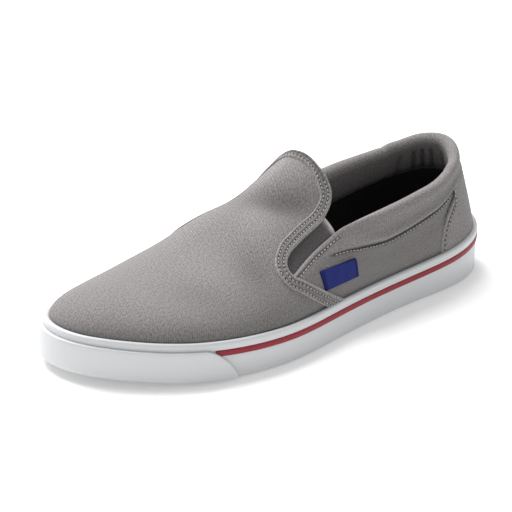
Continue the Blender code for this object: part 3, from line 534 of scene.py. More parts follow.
class Skin:
    """One closed mesh gathered from rows of points, with a cloth map and a trim at each point.

    The cloth map is in metres. The trim holds the metres along the nearest seam, the metres from it,
    and how much painted highlight a folded edge gets, or how much painted shade a place gets where it
    is negative.
    """

    def __init__(self):
        self.points = []
        self.maps = []
        self.trims = []
        self.quads = []
        self.slots = []
        self.count = 0

    def add(self, points, cloth=None, trim=None):
        """Adds points and returns their numbers, in the shape they came in."""
        points = np.asarray(points, float)
        shape = points.shape[:-1]
        cloth = points[..., :2] if cloth is None else cloth
        trim = (0.0, 1.0, 0.0) if trim is None else trim
        self.points.append(points.reshape(-1, 3))
        self.maps.append(np.broadcast_to(cloth, (*shape, 2)).reshape(-1, 2))
        self.trims.append(np.broadcast_to(trim, (*shape, 3)).reshape(-1, 3))
        numbers = self.count + np.arange(len(self.points[-1])).reshape(shape)
        self.count += numbers.size
        return numbers

    def strip(self, row, other, slot=0):
        """Faces between two rows of numbers."""
        self.grid(np.stack([row, other]), slot)

    def cap(self, ring, half):
        """Faces across a closed ring of numbers, between its two halves."""
        self.strip(ring[:half], ring[::-1][:half])

    def grid(self, numbers, slot=0, wrap=False):
        """Faces over a grid of numbers, row by row."""
        if wrap:
            numbers = np.concatenate([numbers, numbers[:, :1]], 1)
        corners = (numbers[:-1, :-1], numbers[:-1, 1:], numbers[1:, 1:], numbers[1:, :-1])
        quads = np.stack(corners, -1).reshape(-1, 4)
        self.quads.append(quads)
        self.slots.append(np.full(len(quads), slot))

    def build(self, name, materials, sharp=50):
        """Makes the object: coincident points are merged, the faces turned outwards, and edges over
        this many degrees left sharp."""
        points = np.vstack(self.points)
        keys = np.round(points * 1e6).astype(np.int64)
        _, first, merged = np.unique(keys, axis=0, return_index=True, return_inverse=True)
        merged = merged.ravel()
        faces, loops, slots = [], [], []
        for quad, slot in zip(np.vstack(self.quads).tolist(), np.concatenate(self.slots).tolist()):
            face, corners = [], []
            for number in quad:
                point = int(merged[number])
                if point not in face:
                    face.append(point)
                    corners.append(number)
            if len(face) > 2:
                faces.append(face)
                loops.extend(corners)
                slots.append(slot)
        mesh = bpy.data.meshes.new(name)
        mesh.from_pydata((points[first] - ORIGIN).tolist(), [], faces)
        cloth = mesh.uv_layers.new(name="cloth")
        cloth.data.foreach_set("uv", np.vstack(self.maps)[loops].astype(np.float32).ravel())
        trim = mesh.attributes.new("trim", "FLOAT_VECTOR", "POINT")
        trim.data.foreach_set("vector", np.vstack(self.trims)[first].astype(np.float32).ravel())
        for finish in materials:
            mesh.materials.append(finish)
        mesh.polygons.foreach_set("material_index", slots)
        work = bmesh.new()
        work.from_mesh(mesh)
        bmesh.ops.recalc_face_normals(work, faces=work.faces)
        if work.calc_volume(signed=True) < 0:
            bmesh.ops.reverse_faces(work, faces=work.faces)
        work.to_mesh(mesh)
        work.free()
        mesh.shade_smooth()
        mesh.set_sharp_from_angle(angle=np.radians(sharp))
        piece = bpy.data.objects.new(name, mesh)
        bpy.context.scene.collection.objects.link(piece)
        return piece


def flat_map(points):
    """Cloth map of a grid of points: metres along its middle row, and metres down each column."""
    along = np.linalg.norm(np.diff(points, axis=1), axis=-1)
    along = np.concatenate([[0], np.cumsum(along[len(points) // 2])])
    down = np.linalg.norm(np.diff(points, axis=0), axis=-1)
    down = np.vstack([np.zeros(points.shape[1]), np.cumsum(down, 0)])
    return np.stack([np.broadcast_to(along, down.shape), down], -1)


def panel(name, front, back, materials, trim=None, cloth=None):
    """A closed solid between two grids of points."""
    skin = Skin()
    cloth = flat_map(front) if cloth is None else cloth
    outer = skin.add(front, cloth, trim)
    inner = skin.add(back, cloth, trim)
    skin.grid(outer)
    skin.grid(inner)
    for edge in (np.s_[0], np.s_[-1], np.s_[:, 0], np.s_[:, -1]):
        skin.strip(outer[edge], inner[edge])
    return skin.build(name, materials)


def swept(stations, rows):
    """Points for each station and each row of distance from the outline and height."""
    base, out = foot(stations), outward(stations)
    sections = []
    for distance, height in rows:
        plan = base + out * np.broadcast_to(distance, len(stations))[:, None]
        sections.append(np.column_stack([plan, np.broadcast_to(height, len(stations))]))
    return np.stack(sections, 1)


def hoop(name, sections, materials, closed=True):
    """A closed solid through sections, each a closed row of points, joined end to end or capped."""
    skin = Skin()
    turned = np.concatenate([sections, sections[:1]]) if closed else sections
    looped = np.concatenate([turned, turned[:, :1]], 1)
    cloth = flat_map(looped.transpose(1, 0, 2)).transpose(1, 0, 2)
    numbers = skin.add(looped, cloth)
    skin.grid(numbers)
    if not closed:
        for row in (numbers[0], numbers[-1]):
            skin.cap(row[:-1], (len(row) + 1) // 2)
    return skin.build(name, materials, 35)


def settle(piece, node):
    """Hands a finished piece to the frame: it rides on the shoe and stands for its node."""
    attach(piece, BODY)
    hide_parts(node)


# What a user would change


class ClothLook(bpy.types.PropertyGroup):
    """Sizes and colours of the cloth pieces and their thread."""

    hole: FloatProperty(name="Needle hole", description="Width of the dark hole between stitches",
                        default=0.00066, min=0.0001, subtype="DISTANCE", unit="LENGTH")
    twill_rib: FloatProperty(name="Twill rib", description="Width of one diagonal rib of the canvas",
                             default=0.0014, min=0.0003, subtype="DISTANCE", unit="LENGTH")
    elastic_rib: FloatProperty(name="Elastic rib", description="Width of one rib of the gores",
                               default=0.0013, min=0.0004, subtype="DISTANCE", unit="LENGTH")
    thread: FloatProperty(name="Thread", description="Thickness of the sewing thread",
                          default=0.00062, min=0.0001, subtype="DISTANCE", unit="LENGTH")
    stitch_pitch: FloatProperty(name="Stitch pitch", description="From one stitch to the next",
                                default=0.0027, min=0.001, subtype="DISTANCE", unit="LENGTH")
    stitch_length: FloatProperty(name="Stitch length", description="Length of the thread that shows",
                                 default=0.0020, min=0.0005, subtype="DISTANCE", unit="LENGTH")
    canvas: FloatVectorProperty(name="Canvas", description="Warm grey of the upper", size=3,
                                subtype="COLOR", min=0, max=1, default=(0.228, 0.215, 0.212))
    band: FloatVectorProperty(name="Band", description="Grey of the band's tape", size=3,
                              subtype="COLOR", min=0, max=1, default=(0.205, 0.194, 0.190))
    thread_colour: FloatVectorProperty(name="Thread", description="Pale grey thread", size=3,
                                       subtype="COLOR", min=0, max=1, default=(0.46, 0.447, 0.44))
    elastic: FloatVectorProperty(name="Elastic", description="Dark grey of the gores", size=3,
                                 subtype="COLOR", min=0, max=1, default=(0.108, 0.100, 0.101))
    lining: FloatVectorProperty(name="Lining", description="Black of the inside", size=3,
                                subtype="COLOR", min=0, max=1, default=(0.020, 0.018, 0.019))
    tag: FloatVectorProperty(name="Tag", description="Blue of the woven tag", size=3,
                             subtype="COLOR", min=0, max=1, default=(0.012, 0.022, 0.165))


class RubberLook(bpy.types.PropertyGroup):
    """Colours and gloss of the rubber."""

    white: FloatVectorProperty(name="Sidewall", description="Cool white of the sidewall", size=3,
                               subtype="COLOR", min=0, max=1, default=(0.60, 0.612, 0.625))
    red: FloatVectorProperty(name="Line", description="Deep red of the line", size=3,
                             subtype="COLOR", min=0, max=1, default=(0.25, 0.008, 0.020))
    tread: FloatVectorProperty(name="Tread", description="Off-white of the outsole", size=3,
                               subtype="COLOR", min=0, max=1, default=(0.66, 0.66, 0.65))
    roughness: FloatProperty(name="Roughness", description="Roughness of the sidewall",
                             default=0.42, min=0, max=1, subtype="FACTOR")


class StageLook(bpy.types.PropertyGroup):
    """Camera and light of the studio."""

    azimuth: FloatProperty(name="Azimuth", description="Camera's direction round the shoe",
                           default=np.radians(132.173), subtype="ANGLE", unit="ROTATION")
    elevation: FloatProperty(name="Elevation", description="Camera's height over the floor",
                             default=np.radians(20.684), subtype="ANGLE", unit="ROTATION")
    roll: FloatProperty(name="Roll", description="Camera's turn about its own axis",
                        default=np.radians(2.929), subtype="ANGLE", unit="ROTATION")
    distance: FloatProperty(name="Distance", description="From the camera to the shoe's middle",
                            default=1.3683, min=0.2, subtype="DISTANCE", unit="LENGTH")
    aim: FloatVectorProperty(name="Aim", description="Middle of the shoe in the picture", size=3,
                             default=(0.0093, -0.0088, 0.0304), subtype="TRANSLATION", unit="LENGTH")
    focal: FloatProperty(name="Focal length", description="In millimetres, on a sensor 36 mm wide",
                         default=183.4, min=20)
    key: FloatProperty(name="Key light", description="Watts of the large light overhead",
                       default=88.0, min=0, unit="POWER")
    fill: FloatProperty(name="Fill light", description="Watts of the light beside the camera",
                        default=1.0, min=0, unit="POWER")
    sky: FloatProperty(name="Room light", description="Strength of the even light",
                       default=0.50, min=0)
    glow: FloatProperty(name="Floor glow", description="Light that comes through the floor", default=0.18,
                        min=0)
    floor: FloatVectorProperty(name="Floor", description="Pale floor", size=3, subtype="COLOR",
                               min=0, max=1, default=(0.92, 0.92, 0.92))


# Finishes


def calc(tree, operation, *values):
    """A Math node of these numbers or sockets. Returns its result."""
    node = tree.nodes.new("ShaderNodeMath")
    node.operation = operation
    for socket, value in zip(node.inputs, values):
        if isinstance(value, bpy.types.NodeSocket):
            tree.links.new(value, socket)
        else:
            socket.default_value = value
    return node.outputs[0]


def noise(tree, vector, scale, detail=2.0, rough=0.5):
    """A Noise Texture's value."""
    node = tree.nodes.new("ShaderNodeTexNoise")
    node.inputs["Scale"].default_value = scale
    node.inputs["Detail"].default_value = detail
    node.inputs["Roughness"].default_value = rough
    tree.links.new(vector, node.inputs["Vector"])
    return node.outputs["Fac"]


def parts(tree, vector):
    """The X, Y and Z of a vector."""
    node = tree.nodes.new("ShaderNodeSeparateXYZ")
    tree.links.new(vector, node.inputs[0])
    return node.outputs


def waves(tree, value, width, shape="SINE"):
    """Waves over the value, one for each width."""
    return calc(tree, shape, calc(tree, "MULTIPLY", value, 2 * np.pi / width))


def effect(name, inputs, outputs):
    """A new shader node group with these inputs and outputs, and the nodes at its two ends."""
    tree = bpy.data.node_groups.new(name, "ShaderNodeTree")
    for label, kind, value in inputs:
        socket = tree.interface.new_socket(label, in_out="INPUT", socket_type=kind)
        if value is not None:
            socket.default_value = value
    for label in outputs:
        tree.interface.new_socket(label, in_out="OUTPUT", socket_type="NodeSocketFloat")
    entry = tree.nodes.new("NodeGroupInput")
    leave = tree.nodes.new("NodeGroupOutput")
    return tree, entry, leave


def twill_effect():
    """Diagonal ribs of twill with their yarns, and flecks of paler and darker yarn."""
    tree, entry, leave = effect("Twill", [("Cloth", "NodeSocketVector", None),
                                          ("Rib", "NodeSocketFloat", 0.001),
                                          ("Slope", "NodeSocketFloat", -0.5)], ["Height", "Fleck"])
    cloth, slope = entry.outputs["Cloth"], entry.outputs["Slope"]
    place = parts(tree, cloth)
    turn = calc(tree, "DIVIDE", 2 * np.pi, entry.outputs["Rib"])
    wobble = calc(tree, "MULTIPLY", noise(tree, cloth, 160.0, 1.0), 1.6)
    across = calc(tree, "MULTIPLY_ADD", place["Y"], slope, place["X"])
    ribs = calc(tree, "SINE", calc(tree, "MULTIPLY_ADD", across, turn, wobble))
    along = calc(tree, "MULTIPLY_ADD", place["X"], calc(tree, "MULTIPLY", slope, -1.0), place["Y"])
    yarns = calc(tree, "SINE", calc(tree, "MULTIPLY", along, calc(tree, "MULTIPLY", turn, 1.7)))
    ribs = calc(tree, "MULTIPLY_ADD", ribs, 0.5, 0.5)
    yarns = calc(tree, "MULTIPLY_ADD", yarns, 0.25, 0.75)
    tree.links.new(calc(tree, "MULTIPLY", ribs, yarns), leave.inputs["Height"])
    tree.links.new(noise(tree, cloth, 900.0, 3.0, 0.65), leave.inputs["Fleck"])
    return tree


def mottle_effect():
    """Soft uneven tone over a surface: broad clouds and smaller ones."""
    tree, entry, leave = effect("Mottle", [("Place", "NodeSocketVector", None),
                                           ("Fine", "NodeSocketFloat", 0.4)], ["Tone"])
    broad = noise(tree, entry.outputs["Place"], 14.0, 2.0)
    small = noise(tree, entry.outputs["Place"], 90.0, 3.0)
    mixed = tree.nodes.new("ShaderNodeMix")
    tree.links.new(entry.outputs["Fine"], mixed.inputs[0])
    tree.links.new(broad, mixed.inputs[2])
    tree.links.new(small, mixed.inputs[3])
    tree.links.new(mixed.outputs[0], leave.inputs["Tone"])
    return tree


def seam_effect():
    """The cloth drawn in along a row of stitches, and puckered between them."""
    tree, entry, leave = effect("Seam", [("Trim", "NodeSocketVector", None),
                                         ("Pitch", "NodeSocketFloat", 0.0027),
                                         ("Width", "NodeSocketFloat", 0.0011)], ["Height", "Shade"])
    trim = parts(tree, entry.outputs["Trim"])
    share = calc(tree, "DIVIDE", trim["Y"], entry.outputs["Width"])
    near = calc(tree, "POWER", np.e, calc(tree, "MULTIPLY", calc(tree, "MULTIPLY", share, share), -1.0))
    wide = calc(tree, "POWER", near, 0.12)
    turn = calc(tree, "DIVIDE", 2 * np.pi, entry.outputs["Pitch"])
    wave = calc(tree, "COSINE", calc(tree, "MULTIPLY", trim["X"], turn))
    pucker = calc(tree, "MULTIPLY", wave, calc(tree, "MULTIPLY", wide, 0.22))
    tree.links.new(calc(tree, "SUBTRACT", pucker, near), leave.inputs["Height"])
    tree.links.new(near, leave.inputs["Shade"])
    return tree


def effect_group(name):
    """The shared effect of this name, built once."""
    makers = {"Twill": twill_effect, "Mottle": mottle_effect, "Seam": seam_effect}
    found = bpy.data.node_groups.get(name)
    return found if found else makers[name]()


class Finish:
    """A material under construction: its shader, and the values that change over the surface."""

    def __init__(self, name, colour, roughness, sheen=0.0, gloss=0.5):
        self.material = bpy.data.materials.new(name)
        self.material.use_nodes = True
        self.tree = self.material.node_tree
        self.shader = self.tree.nodes["Principled BSDF"]
        self.shader.inputs["Base Color"].default_value = (*colour, 1)
        self.shader.inputs["Roughness"].default_value = roughness
        self.shader.inputs["Metallic"].default_value = 0.0
        self.shader.inputs["Sheen Weight"].default_value = sheen
        self.shader.inputs["Sheen Roughness"].default_value = 0.5
        self.shader.inputs["Specular IOR Level"].default_value = gloss
        self.colour = colour

    def place(self):
        """Object coordinates."""
        return self.tree.nodes.new("ShaderNodeTexCoord").outputs["Object"]

    def cloth(self):
        """The piece's cloth map, in metres."""
        node = self.tree.nodes.new("ShaderNodeUVMap")
        node.uv_map = "cloth"
        return node.outputs["UV"]

    def trim(self):
        """The piece's trim: along the seam, from the seam, and painted light: a highlight where positive,
        shade where negative.
        """
        node = self.tree.nodes.new("ShaderNodeAttribute")
        node.attribute_name = "trim"
        return node.outputs["Vector"]

    def group(self, name, **inputs):
        """A shared effect placed in this material."""
        node = self.tree.nodes.new("ShaderNodeGroup")
        node.node_tree = effect_group(name)
        for label, value in inputs.items():
            if isinstance(value, bpy.types.NodeSocket):
                self.tree.links.new(value, node.inputs[label])
            else:
                node.inputs[label].default_value = value
        return node.outputs

    def tint(self, *tones):
        """Multiplies the base colour by the product of these tones, which lie round 1."""
        total = tones[0]
        for tone in tones[1:]:
            total = calc(self.tree, "MULTIPLY", total, tone)
        scale = self.tree.nodes.new("ShaderNodeVectorMath")
        scale.operation = "SCALE"
        scale.inputs[0].default_value = self.colour
        self.tree.links.new(total, scale.inputs["Scale"])
        self.tree.links.new(scale.outputs[0], self.shader.inputs["Base Color"])

    def around(self, value, middle, swing):
        """A tone round 1 from a value round its middle."""
        return calc(self.tree, "MULTIPLY_ADD", value, swing, 1 - middle * swing)

    def bump(self, *heights):
        """Bumps the surface by the sum of these heights, in metres."""
        total = heights[0]
        for height in heights[1:]:
            total = calc(self.tree, "ADD", total, height)
        node = self.tree.nodes.new("ShaderNodeBump")
        node.inputs["Strength"].default_value = 1.0
        node.inputs["Distance"].default_value = 1.0
        self.tree.links.new(total, node.inputs["Height"])
        self.tree.links.new(node.outputs["Normal"], self.shader.inputs["Normal"])

    def roughen(self, value, middle, swing):
        """Lets the roughness swing round its value."""
        base = self.shader.inputs["Roughness"].default_value
        changed = calc(self.tree, "MULTIPLY_ADD", value, swing, base - middle * swing)
        self.tree.links.new(changed, self.shader.inputs["Roughness"])


def canvas_finish(name, colour, look, slope=-0.5, rib=1.0, ladder=0.0):
    """Cotton twill: ribs, flecks, soft clouds and seams drawn in, with a painted highlight on folded edges,
    painted shade where the trim is negative and a painted shade line along the seams. The ladder is the
    height in metres of bars across a tape, one for each stitch."""
    finish = Finish(name, colour, 0.92, sheen=0.16, gloss=0.2)
    tree = finish.tree
    twill = finish.group("Twill", Cloth=finish.cloth(), Rib=look.twill_rib * rib, Slope=slope)
    mottle = finish.group("Mottle", Place=finish.place(), Fine=0.35)
    seam = finish.group("Seam", Trim=finish.trim(), Pitch=look.stitch_pitch, Width=0.0009)
    trim = parts(tree, finish.trim())
    # Painted light: the trim's third value paints a highlight where positive and shade where negative, and
    # the seam effect paints a shade line along each seam
    edge = calc(tree, "MULTIPLY_ADD", trim["Z"], 0.38, 1.0)
    shade = calc(tree, "MULTIPLY_ADD", seam["Shade"], -0.42, 1.0)
    finish.tint(finish.around(twill["Height"], 0.38, 0.24), finish.around(twill["Fleck"], 0.5, 1.9),
                finish.around(mottle["Tone"], 0.5, 0.22), shade, edge)
    heights = [calc(tree, "MULTIPLY", twill["Height"], 0.00012),
               calc(tree, "MULTIPLY", twill["Fleck"], 0.00026),
               calc(tree, "MULTIPLY", seam["Height"], 0.00028)]
    if ladder:
        bars = waves(tree, trim["X"], look.stitch_pitch)
        heights.append(calc(tree, "MULTIPLY", bars, ladder))
    finish.bump(*heights)
    return finish.material


def lining_finish(look):
    """Black drill inside the shoe."""
    finish = Finish("black drill", look.lining, 0.95, sheen=0.03, gloss=0.1)
    twill = finish.group("Twill", Cloth=finish.cloth(), Rib=look.twill_rib, Slope=-0.7)
    finish.tint(finish.around(twill["Height"], 0.38, 0.3), finish.around(twill["Fleck"], 0.5, 0.6))
    finish.bump(calc(finish.tree, "MULTIPLY", twill["Height"], 0.0001))
    return finish.material


def elastic_finish(look):
    """Ribbed elastic webbing, with its paler top edge."""
    finish = Finish("elastic webbing", look.elastic, 0.85, sheen=0.12, gloss=0.2)
    tree = finish.tree
    cloth = parts(tree, finish.cloth())
    ribs = waves(tree, cloth["X"], look.elastic_rib)
    picks = waves(tree, cloth["Y"], 0.0007)
    fleck = noise(tree, finish.cloth(), 700.0, 2.0)
    edge = calc(tree, "MULTIPLY_ADD", parts(tree, finish.trim())["Z"], 5.0, 1.0)
    finish.tint(finish.around(ribs, 0.0, 0.09), finish.around(fleck, 0.5, 0.7), edge)
    finish.bump(calc(tree, "MULTIPLY", ribs, 0.00005), calc(tree, "MULTIPLY", picks, 0.00002))
    return finish.material


def thread_finish(look):
    """Twisted cotton thread."""
    finish = Finish("cotton thread", look.thread_colour, 0.8, sheen=0.2)
    finish.tint(finish.around(noise(finish.tree, finish.place(), 500.0, 2.0), 0.5, 0.5))
    return finish.material


def hole_shadow_finish():
    """Painted shadow of a needle hole: a dark grey ball where there is only the hole's shade."""
    return Finish("needle hole", (0.030, 0.028, 0.028), 0.95, gloss=0.0).material


def tag_finish(look):
    """Fine woven label with crosswise ribs, left blank."""
    finish = Finish("woven label", look.tag, 0.75, sheen=0.02, gloss=0.2)
    tree = finish.tree
    cloth = parts(tree, finish.cloth())
    weave = calc(tree, "MULTIPLY", waves(tree, cloth["X"], 0.00052), waves(tree, cloth["Y"], 0.0004))
    fleck = noise(tree, finish.cloth(), 900.0, 2.0)
    edge = calc(tree, "MULTIPLY_ADD", parts(tree, finish.trim())["Z"], -0.45, 1.0)
    finish.tint(finish.around(weave, 0.0, 0.10), finish.around(fleck, 0.5, 0.6), edge)
    finish.bump(calc(tree, "MULTIPLY", weave, 0.00004))
    return finish.material


def rubber_finish(name, colour, roughness):
    """Vulcanised rubber: an even satin with clouds of gloss and a faint skin."""
    finish = Finish(name, colour, roughness, gloss=0.35)
    tree = finish.tree
    mottle = finish.group("Mottle", Place=finish.place(), Fine=0.5)
    skin = noise(tree, finish.place(), 1400.0, 2.0)
    finish.tint(finish.around(mottle["Tone"], 0.5, 0.05), finish.around(skin, 0.5, 0.03))
    finish.roughen(mottle["Tone"], 0.5, 0.25)
    finish.bump(calc(tree, "MULTIPLY", skin, 0.000012), calc(tree, "MULTIPLY", mottle["Tone"], 0.00012))
    return finish.material


def tread_finish(look):
    """Outsole rubber with a fine diamond tread between its grooves."""
    finish = Finish("tread rubber", look.tread, 0.6)
    tree = finish.tree
    place = parts(tree, finish.place())
    ridges = [waves(tree, calc(tree, way, place["X"], place["Y"]), 0.0042, "COSINE")
              for way in ("ADD", "SUBTRACT")]
    ridge = calc(tree, "SMOOTH_MIN", calc(tree, "MAXIMUM", *ridges), 0.6, 0.2)
    skin = noise(tree, finish.place(), 900.0, 3.0)
    # Painted shade: the colour follows the tread's height, a little darker in its hollows
    finish.tint(finish.around(ridge, 0.4, 0.06), finish.around(skin, 0.5, 0.08))
    finish.bump(calc(tree, "MULTIPLY", ridge, 0.0005), calc(tree, "MULTIPLY", skin, 0.00003))
    return finish.material


FINISHES = {}


def shared(name, maker, *values):
    """A finish that several pieces share, made once."""
    if name not in FINISHES:
        FINISHES[name] = maker(*values)
    return FINISHES[name]


def canvas(look):
    """The canvas of the vamp, the quarters and the counter."""
    return shared("canvas", canvas_finish, "grey canvas", look.canvas, look)


def lining(look):
    """The black drill of the inside and the insole."""
    return shared("lining", lining_finish, look)


# Pieces


class SLIPON_OT_vamp(bpy.types.Operator):
    """Canvas vamp with its tongue-shaped top, lined in black"""

    bl_idname = "slipon.vamp"
    bl_label = "Vamp"

    def execute(self, context):
        look = context.scene.slipon_cloth
        seam_rows, edge_rows, side_columns, toe_columns = 30, 52, 96, 56
        seam_girth = 1 - np.linspace(0, 1, seam_rows) * (1 - NOTCH_GIRTH)
        seam_x = from_rows(seam_girth, VAMP_SEAM, 1)
        even = np.concatenate([np.linspace(1, NOTCH_RING, seam_rows),
                               np.linspace(NOTCH_RING, 0, edge_rows + 1)[1:]])
        columns = np.linspace(0, 1, side_columns)
        levelled = ease(columns / 0.55)
        toe = 1 + np.linspace(0, 1, toe_columns + 1)[1:-1]
        stations, girths = {}, {}
        for outer_side in (True, False):
            edge_x, edge_girth = vamp_edge(edge_rows, outer_side)
            rear_x = np.concatenate([seam_x, edge_x[1:]]) * LAST_LENGTH
            rear_girth = np.concatenate([seam_girth, edge_girth[1:]])
            girths[outer_side] = rear_girth[:, None] + (even - rear_girth)[:, None] * levelled
            x = rear_x[:, None] + (TOE_X - rear_x)[:, None] * columns
            stations[outer_side] = station(x, outer_side)
        round_toe = np.tile(toe, (len(even), 1))
        station_grid = np.concatenate([stations[True], round_toe, stations[False][:, ::-1]], 1)
        girth_grid = np.concatenate([girths[True], np.tile(even[:, None], (1, len(toe))),
                                     girths[False][:, ::-1]], 1)
        cloth = cloth_place(station_grid, girth_grid)
        drape = vamp_drape(station_grid, girth_grid)
        lift = VAMP_STEP * ease((1 - girth_grid) / 0.12)
        # Painted shade and highlight: the canvas darkens towards the sidewall and in the troughs, and
        # lightens on the ridges
        painted_shading = -np.exp((girth_grid - 1) / 0.22) - np.clip(drape / 0.0030, -0.5, 1)
        trim = np.stack([0 * painted_shading, 1 + 0 * painted_shading, painted_shading], -1)
        skin = Skin()
        layers = []
        for wall, depth in ((0, drape - lift), (CANVAS_WALL, np.maximum(CANVAS_WALL + drape, 0.0006))):
            grid = on_last(station_grid, girth_grid, depth)
            # Both sides meet on one crest line, and the toe's columns end on its foremost point
            crest = grid[-1, :side_columns]
            grid[-1] = np.concatenate([crest, np.tile(crest[-1], (len(toe), 1)), crest[::-1]])
            hem = skirt(station_grid[0], np.full(len(grid[0]), wall), HEM_HEIGHT)
            layers.append(skin.add(np.concatenate([hem[None], grid]), np.concatenate([cloth[:1], cloth]),
                                   np.concatenate([trim[:1], trim])))
        outer, inner = layers
        skin.grid(outer, 0)
        skin.grid(inner, 1)
        for edge in (np.s_[0], np.s_[:, 0], np.s_[:, -1]):
            skin.strip(outer[edge], inner[edge])
        piece = skin.build("vamp", [canvas(look), lining(look)])
        settle(piece, "upper")
        return {"FINISHED"}


class SLIPON_OT_quarters(bpy.types.Operator):
    """Canvas quarters with the padded collar roll, sewn inside to the black lining"""

    bl_idname = "slipon.quarters"
    bl_label = "Quarters and collar"

    lap = 0.010            # metres that the quarters run on under the vamp
    tuck = 0.021           # metres that the canvas runs down the inside, to the lining's seam

    def execute(self, context):
        look = context.scene.slipon_cloth
        stations, ways = self.columns()
        x = foot(stations)[:, 0]
        padding, fullness = roll_share(x), bulge_share(x)
        top, seam = collar_lines(stations)
        run = girth_run(stations, top)

        wall = np.linspace(0, 1, 34)[:, None] ** 0.9 * seam
        roll = seam + (1 - seam) * np.linspace(0, 1, 27)[1:, None]
        height = np.concatenate([wall, roll])
        girths = 1 - height * (1 - top)
        places = self.lean(height, stations, ways)
        from_top = (girths - top) * run
        below = (girths - (1 - seam * (1 - top))) * run
        up = np.clip((height - seam) / (1 - seam), 0, 1)
        outside = on_last(places, girths, self.outer_depth(up, below, from_top, padding, fullness))

        tucked = top + np.linspace(0, 1, 26)[:, None] * self.tuck / run
        lined = tucked[-1] + (1 - tucked[-1]) * np.linspace(0, 1, 21)[1:, None]
        inner_girths = np.concatenate([tucked, lined])
        down = (inner_girths - top) * run
        inner_places = self.lean((1 - inner_girths) / (1 - top), stations, ways)
        depth = self.inner_depth(down, padding)
        rim_inside = on_last(inner_places, inner_girths, depth)
        puckers = self.puckers(down, inner_places)
        inside = on_last(inner_places, inner_girths, depth - puckers)

        cap = self.cap(outside, rim_inside, padding)
        hem_out = skirt(places[0], np.zeros(len(x)), HEM_HEIGHT)
        hem_in = skirt(places[0], np.full(len(x), CANVAS_WALL), HEM_HEIGHT)
        points = np.concatenate([hem_out[None], outside, cap, inside, hem_in[None]])
        cloth = flat_map(points)
        outer_rows = slice(1, 1 + len(outside))
        cap_rows = slice(outer_rows.stop, outer_rows.stop + len(cap))
        inner_rows = slice(cap_rows.stop, cap_rows.stop + len(inside))
        away = np.ones(points.shape[:2])
        painted_light_and_shade = np.zeros(points.shape[:2])
        roll_seam = np.where(x < ROLL_SEAM_END * LAST_LENGTH, np.abs(below), 1.0)
        edge_seam = np.where(x > EDGE_SEAM_START * LAST_LENGTH, np.abs(from_top - EDGE_ROW), 1.0)
        away[outer_rows] = np.minimum(roll_seam, edge_seam)
        away[inner_rows] = np.abs(down - self.tuck)
        # Painted light and shade: a highlight along the folded top edge where the roll is flat and over its
        # rounded top, shade below the roll's seam, down the inside and in the puckers
        painted_light_and_shade[outer_rows] = (1 - padding) * bell(from_top / 0.0012) - 0.45 * ease(0.5 + below / 0.004)
        painted_light_and_shade[cap_rows] = 1 - padding
        painted_light_and_shade[inner_rows] = -0.3 - 1.2 * ease(down / self.tuck) - 0.8 * np.clip(puckers / 0.0025, 0, 1)
        trim = np.stack([cloth[..., 0], away, painted_light_and_shade], -1)

        skin = Skin()
        numbers = skin.add(points, cloth, trim)
        join = inner_rows.start + len(tucked)
        skin.grid(numbers[:join], 0)
        skin.grid(numbers[join - 1:], 1)
        skin.strip(numbers[0], numbers[-1], 1)
        for end in (numbers[:, 0], numbers[:, -1]):
            skin.cap(end, len(end) // 2)
        piece = skin.build("quarters", [canvas(look), lining(look)], 60)
        settle(piece, "upper")
        return {"FINISHED"}

    def columns(self):
        """Stations of the columns from the inner seam round to the outer, and how far each is
        along its side."""
        notch_x = NOTCH_SHARE * LAST_LENGTH
        ways = np.linspace(0, 1, 96)
        side = notch_x + (HEEL_X - notch_x) * ways
        heel = 3 + np.linspace(0, 1, 81)[1:-1]
        stations = np.concatenate([station(side, False), heel, station(side)[::-1]])
        return stations, np.concatenate([ways, np.ones(len(heel)), ways[::-1]])

    def lean(self, height, stations, ways):
        """Stations of the rows, whose front ends follow the vamp's seam and run on under it."""
        seam_x = from_rows(1 - height * (1 - NOTCH_GIRTH), VAMP_SEAM, 1) * LAST_LENGTH
        lap = self.lap * (1 - ease((height - 0.86) / 0.14))
        x = seam_x + lap + (HEEL_X - seam_x - lap) * ways
        heel = (stations > 3) & (stations < 4)
        inner_side = (stations >= 2) & (stations <= 3)
        sides = np.where(inner_side, station(x, False), station(x))
        return np.where(heel, stations, sides)

    def outer_depth(self, up, below, from_top, padding, fullness):
        """Outside: drawn in at the roll's seam, full just above it, flatter towards the top."""
        full = (1 - np.exp(-up / 0.06)) * (0.55 + 0.95 * bell((up - 0.14) / 0.24))
        full = full + 0.35 * bell((up - 0.95) / 0.2) * (up > 0)
        near_top = ease((up - 0.5) / 0.5)
        swell = fullness + (padding - fullness) * near_top
        pinch = 0.0015 * bell(below / 0.0015)
        hollow = 0.0009 * bell((below - 0.006) / 0.006)
        bead = 0.00035 * bell((from_top - 0.0008) / 0.0010) - 0.0002 * bell((from_top - EDGE_ROW) / 0.0008)
        return fullness * (pinch + hollow) - swell * COLLAR_BULGE * full - (1 - padding) * bead

    def inner_depth(self, down, padding):
        """Inside: padded down to the lining's seam."""
        swell = ease((self.tuck + 0.001 - down) / 0.008)
        low = ease((0.036 - down) / 0.012)
        return CANVAS_WALL + COLLAR_PAD * padding * (0.30 * low + 0.70 * swell)

    def puckers(self, down, places):
        """Depth of the puckers where the roll's inside is gathered round the heel."""
        window = ease((down - 0.002) / 0.005) * ease((self.tuck + 0.002 - down) / 0.006)
        return sum(sink * bell((places - place - 0.25 * (down - 0.01)) / width) * window
                   for place, width, sink in PUCKERS)

    def cap(self, outside, inside, padding):
        """Rounded top, from the outer top edge over to the inner one."""
        top_out, top_in = outside[-1], inside[0]
        middle = (top_out + top_in) / 2
        half = (top_out - top_in) / 2
        rise = middle - (outside[-3] + inside[3]) / 2
        rise /= np.linalg.norm(rise, axis=1, keepdims=True)
        reach = np.linalg.norm(half, axis=1) * (0.3 + 0.7 * padding)
        angles = np.radians(np.linspace(0, 180, 14)[1:-1])
        return np.stack([middle + half * np.cos(a) + rise * (reach * np.sin(a))[:, None] for a in angles])


